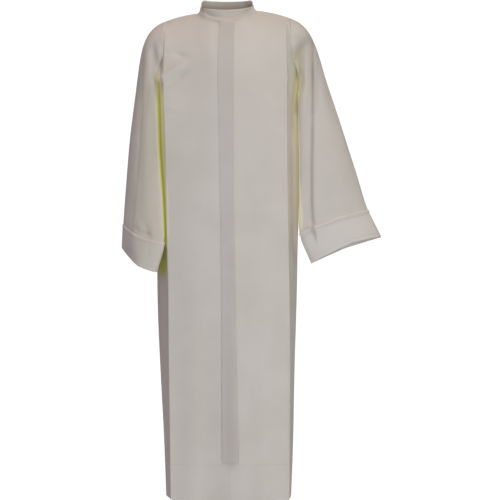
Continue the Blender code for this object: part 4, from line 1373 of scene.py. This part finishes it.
# ---------------------------------------------------------------- placket
@dataclass
class Placket:
    """The strip over the closing, its free edge folded and standing a little proud."""

    body: Body
    wall: float = 0.0009
    # across the strip, from its sewn edge to its free edge and back under: place, as a share of half
    # its width, and height
    profile: Line = (
        (-1.0, 0.0002), (-0.98, 0.0008), (-0.93, 0.0011), (-0.75, 0.0014), (-0.47, 0.0019),
        (-0.16, 0.0025), (0.16, 0.0031), (0.47, 0.0037), (0.74, 0.0043), (0.88, 0.0046),
        (0.955, 0.0044), (0.99, 0.0037), (1.0, 0.0027), (0.985, 0.0017), (0.93, 0.0011), (0.74, 0.0010))
    # how the strip lies as it hangs: height, x of its sewn edge and of its free edge from the closing,
    # and how far it stands out, as a share of its profile
    lie: tuple[tuple[float, float, float, float], ...] = (
        (-1.34, -0.0248, 0.0262, 1.8), (-1.20, -0.0236, 0.0240, 1.8), (-0.95, -0.0212, 0.0222, 1.6),
        (-0.65, -0.0200, 0.0212, 1.2), (-0.34, -0.0226, 0.0222, 0.9), (-0.05, -0.0258, 0.0240, 0.8))
    end_z: float = -1.329
    reach: int = 12                 # columns of each front that the strip is read from
    level: int = 3                  # past the closing it faces as the column so far before it does
    top_gap: float = 0.0006         # its upper end stops so far below the neck seam
    stitch_z: tuple[float, ...] = (-1.3115, -1.3250)
    stitch_columns: tuple[int, int] = (2, 11)
    cut: Cut = Cut(0.056, 1.32, 0.073)

    def draw(self) -> Sheet:
        """The strip, from the fronts' own points moved out."""
        right, left = (self.body.sheets[side.word] for side in Side)
        middle = self.reach
        base, out = (np.concatenate([beside[:, middle:0:-1], beyond[:, :middle + 1]], axis=1)
                     for beside, beyond in ((right.points, left.points), (right.normals(), left.normals())))
        keep = base[:, middle, 2] >= self.end_z
        base, out = base[keep], out[keep]
        runs = runs_along(base, 1)
        place, lift = np.array(self.profile).T
        heights, *lies = np.array(self.lie).T
        rows = []
        for run, points, normals in zip(runs - runs[:, middle:middle + 1], base, out):
            sewn, free, proud = (np.interp(points[middle, 2], heights, values) for values in lies)
            at = sewn + (free - sewn) * (place + 1.0) / 2.0
            # past the closing it goes straight on, clear of the left front, which falls away
            past = np.maximum(at, 0.0)[:, None]
            along = unit(points[middle] - read_line(sewn, run, points))
            seat = np.where(past > 0.0, points[middle] + along * past, read_line(at, run, points))
            facing = unit(read_line(at, run, normals))
            facing = np.where(past > 0.0, normals[middle - self.level], facing)
            rows.append(seat + facing * (lift * proud)[:, None])
        points = np.array(rows)
        points[0] += unit(points[1] - points[0]) * self.top_gap
        return Sheet(points)

    def build(self) -> list[bpy.types.Object]:
        """Make the strip and its two rows of stitches at the lower end, and dress them."""
        sheet = self.draw()
        # its cloth is a darker ivory: painted shade on the strip
        thing = sheet.make("cloth_placket", IVORY_STRIP_PAINTED_SHADE, self.wall)
        first, last = self.stitch_columns
        heights = sheet.points[:, (first + last) // 2, 2]
        stitches = [sheet.stitched(f"placket_stitches_{number}", nearest(heights, z), slice(first, last))
                    for number, z in enumerate(self.stitch_z)]
        return [settle(thing, "placket", stitches)]


# ---------------------------------------------------------------- studio
class Lamp(NamedTuple):
    """A soft rectangular studio light."""

    name: str
    place: Spot
    aim: Spot
    size: tuple[float, float]
    power: float
    colour: str


@dataclass
class Studio:
    """Plain pale floor, white surroundings, soft lights and the camera."""

    floor_z: float = -1.58
    floor_size: float = 30.0
    white: float = 1.06             # the paper behind the robe, lit to pure white
    room: float = 0.268             # strength of the soft light that comes down from the room
    room_colour: str = "#fff1fa"
    room_from: tuple[float, float] = (0.0, 0.6)     # sines of the heights between which it grows
    lamps: tuple[Lamp, ...] = (
        Lamp("front", (0.3, -5.0, -0.3), (0.0, 0.0, -0.6), (2.0, 1.6), 35.6, "#fff7f2"),
        Lamp("low", (0.1, -4.2, -1.1), (0.0, 0.0, -1.0), (2.4, 0.7), 36.4, "#bfdcff"),
        Lamp("right", (3.6, -3.0, -0.4), (0.0, 0.0, -0.7), (1.8, 1.6), 25.0, "#edfff9"),
        Lamp("top", (0.2, -1.0, 3.4), (0.0, 0.0, -0.2), (2.4, 2.4), 54.0, "#fff0e8"),
    )
    camera_place: Spot = (0.066, -6.0, -0.705)
    sensor: float = 36.0
    lens: float = 144.0
    nearest: float = 0.1
    sight: float = 6.6              # the floor behind the robe lies beyond it, so white shows there

    def build_floor(self) -> bpy.types.Object:
        """Make the floor, one wide board."""
        mesh = bmesh.new()
        bmesh.ops.create_grid(mesh, x_segments=8, y_segments=8, size=self.floor_size / 2.0,
                              matrix=Matrix.Translation((0.0, 0.0, self.floor_z)))
        floor = finished(mesh, "floor", BoardFinish().make())
        return floor

    def build_surroundings(self) -> None:
        """White paper all round, and the soft light that comes back from the room."""
        world = bpy.data.worlds.new("surroundings")
        bpy.context.scene.world = world
        world.use_nodes = True
        tree = world.node_tree
        tree.nodes.clear()
        direction = add_node(tree, "ShaderNodeTexCoord").outputs["Generated"]
        height = add_node(tree, "ShaderNodeSeparateXYZ", {}, {0: direction}).outputs["Z"]
        sky = add_node(tree, "ShaderNodeMapRange", {},
                       {"Value": height, "From Min": self.room_from[0], "From Max": self.room_from[1],
                        "To Max": self.room})
        room = add_node(tree, "ShaderNodeBackground", {},
                        {"Color": linear(self.room_colour), "Strength": sky.outputs["Result"]})
        paper = add_node(tree, "ShaderNodeBackground", {},
                         {"Color": (1.0, 1.0, 1.0, 1.0), "Strength": self.white})
        seen = add_node(tree, "ShaderNodeLightPath").outputs["Is Camera Ray"]
        light = add_node(tree, "ShaderNodeMixShader", {}, {0: seen, 1: room.outputs[0], 2: paper.outputs[0]})
        add_node(tree, "ShaderNodeOutputWorld", {}, {"Surface": light.outputs[0]})

    def build_lamps(self) -> None:
        """Hang the lights."""
        for lamp in self.lamps:
            data = bpy.data.lights.new(lamp.name, "AREA")
            data.shape = "RECTANGLE"
            data.size, data.size_y = lamp.size
            data.energy = lamp.power
            data.color = linear(lamp.colour)[:3]
            light = placed(lamp.name, data)
            light.location = lamp.place
            way = Vector(lamp.aim) - Vector(lamp.place)
            light.rotation_euler = way.to_track_quat("-Z", "Y").to_euler()

    def build_camera(self) -> None:
        """Set the camera level in front of the robe, and show light as it is, with no film curve."""
        data = bpy.data.cameras.new("camera")
        data.sensor_width, data.lens = self.sensor, self.lens
        data.clip_start, data.clip_end = self.nearest, self.sight
        camera = placed("camera", data)
        camera.location = self.camera_place
        camera.rotation_euler = (math.radians(90.0), 0.0, 0.0)
        bpy.context.scene.camera = camera
        bpy.context.scene.view_settings.view_transform = "Standard"

    def build(self) -> None:
        """Make the whole studio."""
        self.build_floor()
        self.build_surroundings()
        self.build_lamps()
        self.build_camera()
        log.info("studio: %d lights", len(self.lamps))


# ---------------------------------------------------------------- tables of the two sleeves
RIGHT_SECTIONS = (
    Section((-0.277, -0.012, -0.24), (-0.243, -0.08, -0.262), (-0.2025, -0.066, -0.29),
            (-0.252, 0.088, -0.256), 1.75),
    Section((-0.293, -0.02, -0.378), (-0.256, -0.092, -0.402), (-0.1989, -0.094, -0.424),
            (-0.256, 0.094, -0.39), 1.6),
    Section((-0.305, -0.024, -0.522), (-0.261, -0.1, -0.552), (-0.189, -0.104, -0.572),
            (-0.262, 0.098, -0.53), 1.5),
    Section((-0.3125, -0.024, -0.627), (-0.263, -0.103, -0.662), (-0.1868, -0.106, -0.682),
            (-0.266, 0.1, -0.634), 1.45),
    Section((-0.316, -0.022, -0.696), (-0.265, -0.104, -0.75), (-0.209, -0.104, -0.768),
            (-0.27, 0.096, -0.706), 1.25),
)
LEFT_SECTIONS = (
    Section((0.304, -0.01, -0.226), (0.262, -0.082, -0.246), (0.2065, -0.074, -0.284),
            (0.264, 0.09, -0.244), 1.65),
    Section((0.346, -0.02, -0.356), (0.292, -0.09, -0.378), (0.2095, -0.085, -0.42), (0.29, 0.08, -0.378),
            1.6),
    Section((0.387, -0.022, -0.485), (0.316, -0.09, -0.508), (0.2115, -0.09, -0.556), (0.31, 0.066, -0.512),
            1.55),
    Section((0.418, -0.02, -0.585), (0.33, -0.088, -0.606), (0.2125, -0.09, -0.654), (0.324, 0.054, -0.615),
            1.5),
    Section((0.457, -0.014, -0.666), (0.362, -0.084, -0.684), (0.249, -0.082, -0.743),
            (0.354, 0.048, -0.698), 1.45),
)
# the wearer's right cuff lies flatter: a raised edge with hardly a groove below it
RIGHT_CUFF = ((0.0, 0.0004), (0.0010, 0.0022), (0.0022, 0.0040), (0.0036, 0.0050), (0.0056, 0.0050),
              (0.0080, 0.0044), (0.0110, 0.0036), (0.0150, 0.0032), (0.3, 0.0032))
BODY_FOLDS: tuple[Fold | Pleat, ...] = (
    # drawn up from the right underarm over the chest, with the hollow under it
    Fold(((-0.19, -0.196), (-0.16, -0.176), (-0.118, -0.146)), 0.0086, 0.011, (1.0, 0.9, 0.0)),
    Fold(((-0.18, -0.218), (-0.146, -0.198), (-0.108, -0.17)), -0.0068, 0.011, (0.3, 1.0, 0.0)),
    Fold(((-0.172, -0.12), (-0.108, -0.138)), -0.0042, 0.01),
    Fold(((-0.1895, -0.052), (-0.187, -0.086)), -0.0024, 0.0036),
    Fold(((-0.18, -0.29), (-0.15, -0.283)), 0.0032, 0.007, (0.6, 1.0, 0.0)),
    Fold(((0.04, -0.196), (0.085, -0.178), (0.13, -0.2)), -0.0026, 0.024),
    Fold(((0.176, -0.2), (0.14, -0.172)), 0.0022, 0.01, (1.0, 0.7, 0.0)),
    Fold(((-0.17, -0.23), (-0.11, -0.18)), 0.003, 0.012, (1.0, 0.8, 0.0), facing=Facing.BACK),
    Fold(((0.18, -0.225), (0.115, -0.17)), 0.003, 0.012, (1.0, 0.8, 0.0), facing=Facing.BACK),
    Fold(((-0.12, -0.075), (0.11, -0.078)), -0.002, 0.016, facing=Facing.BACK),
)
RIGHT_FOLDS: tuple[Fold | Pleat, ...] = (
    Pleat(((-0.25, -0.09), (-0.2515, -0.135), (-0.251, -0.19), (-0.2515, -0.264), (-0.2577, -0.396),
           (-0.2726, -0.558), (-0.28, -0.64), (-0.286, -0.7)), 0.42, 0.003, 0.009, 0.04, 0.0, 0.05),
    # the sag of the cap between the shoulder and the underarm
    Pleat(((-0.218, -0.08), (-0.213, -0.115), (-0.208, -0.14), (-0.204, -0.18)), 0.6, 0.012, 0.009, 0.02,
          0.0, 0.04),
    Fold(((-0.24, -0.08), (-0.23, -0.2)), 0.003, 0.011),
    # puckers above the cuff, and the dip where they meet its raised edge
    Fold(((-0.2759, -0.639), (-0.2457, -0.656), (-0.2125, -0.669)), -0.0026, 0.0055, (0.6, 1.0, 0.6)),
    Fold(((-0.256, -0.646), (-0.266, -0.606)), 0.002, 0.006, (1.0, 0.5, 0.0)),
    Fold(((-0.236, -0.656), (-0.246, -0.61)), -0.0022, 0.007, (1.0, 0.6, 0.0)),
    Fold(((-0.22, -0.664), (-0.222, -0.614)), 0.002, 0.007, (1.0, 0.6, 0.0)),
    Fold(((-0.24, -0.1), (-0.226, -0.21)), -0.004, 0.012, facing=Facing.BACK),
    Fold(((-0.262, -0.3), (-0.258, -0.66)), -0.004, 0.016, (0.2, 1.0, 0.7), facing=Facing.BACK),
)
LEFT_FOLDS: tuple[Fold | Pleat, ...] = (
    Pleat(((0.248, -0.08), (0.2505, -0.143), (0.2505, -0.28), (0.2462, -0.46), (0.2462, -0.56),
           (0.2515, -0.645), (0.264, -0.7)), 0.6, 0.009, 0.0048, 0.045, 0.0052),
    Pleat(((0.249, -0.06), (0.251, -0.143), (0.2505, -0.27)), 0.5, 0.008, 0.004, 0.02, 0.0012, 0.06),
    # the sag of the cap between the shoulder and the underarm, and the full part beside it
    Fold(((0.24, -0.086), (0.22, -0.108), (0.206, -0.135), (0.203, -0.19)), -0.011, 0.015, (0.5, 1.0, 0.2)),
    Fold(((0.238, -0.1), (0.233, -0.15), (0.23, -0.23)), 0.0024, 0.01),
    # wrinkles that run together where the crease meets the cuff
    Fold(((0.256, -0.628), (0.236, -0.606)), -0.003, 0.006, (1.0, 0.7, 0.0)),
    Fold(((0.254, -0.642), (0.228, -0.632)), 0.003, 0.006, (1.0, 0.7, 0.0)),
    Fold(((0.26, -0.64), (0.266, -0.7)), 0.0026, 0.007, (1.0, 0.7, 0.0)),
    Fold(((0.248, -0.652), (0.238, -0.69)), -0.0026, 0.007, (1.0, 0.6, 0.0)),
    Fold(((0.24, -0.1), (0.236, -0.21)), -0.004, 0.012, facing=Facing.BACK),
    Fold(((0.3, -0.3), (0.34, -0.64)), -0.004, 0.018, (0.2, 1.0, 0.7), facing=Facing.BACK),
)


def main() -> None:
    """Build the studio and the robe, part by part, and report each piece."""
    logging.basicConfig(level=logging.INFO, format="%(name)s: %(message)s")
    Studio().build()
    body = Body(BODY_FOLDS)
    right = Sleeve(Side.RIGHT, body, RIGHT_SECTIONS, (Crease(300, 20, 0.005),), RIGHT_FOLDS,
                   cuff_profile=RIGHT_CUFF)
    left = Sleeve(Side.LEFT, body, LEFT_SECTIONS, (Crease(282, 22, 0.006),), LEFT_FOLDS)
    for part in (body, right, left, Collar(), Placket(body)):
        for thing in part.build():
            triangles = sum(len(face.vertices) - 2 for face in thing.data.polygons)
            log.info("%s: %d triangles before its wall", thing.name, triangles)
    bpy.context.view_layer.update()


if __name__ == "__main__":
    main()
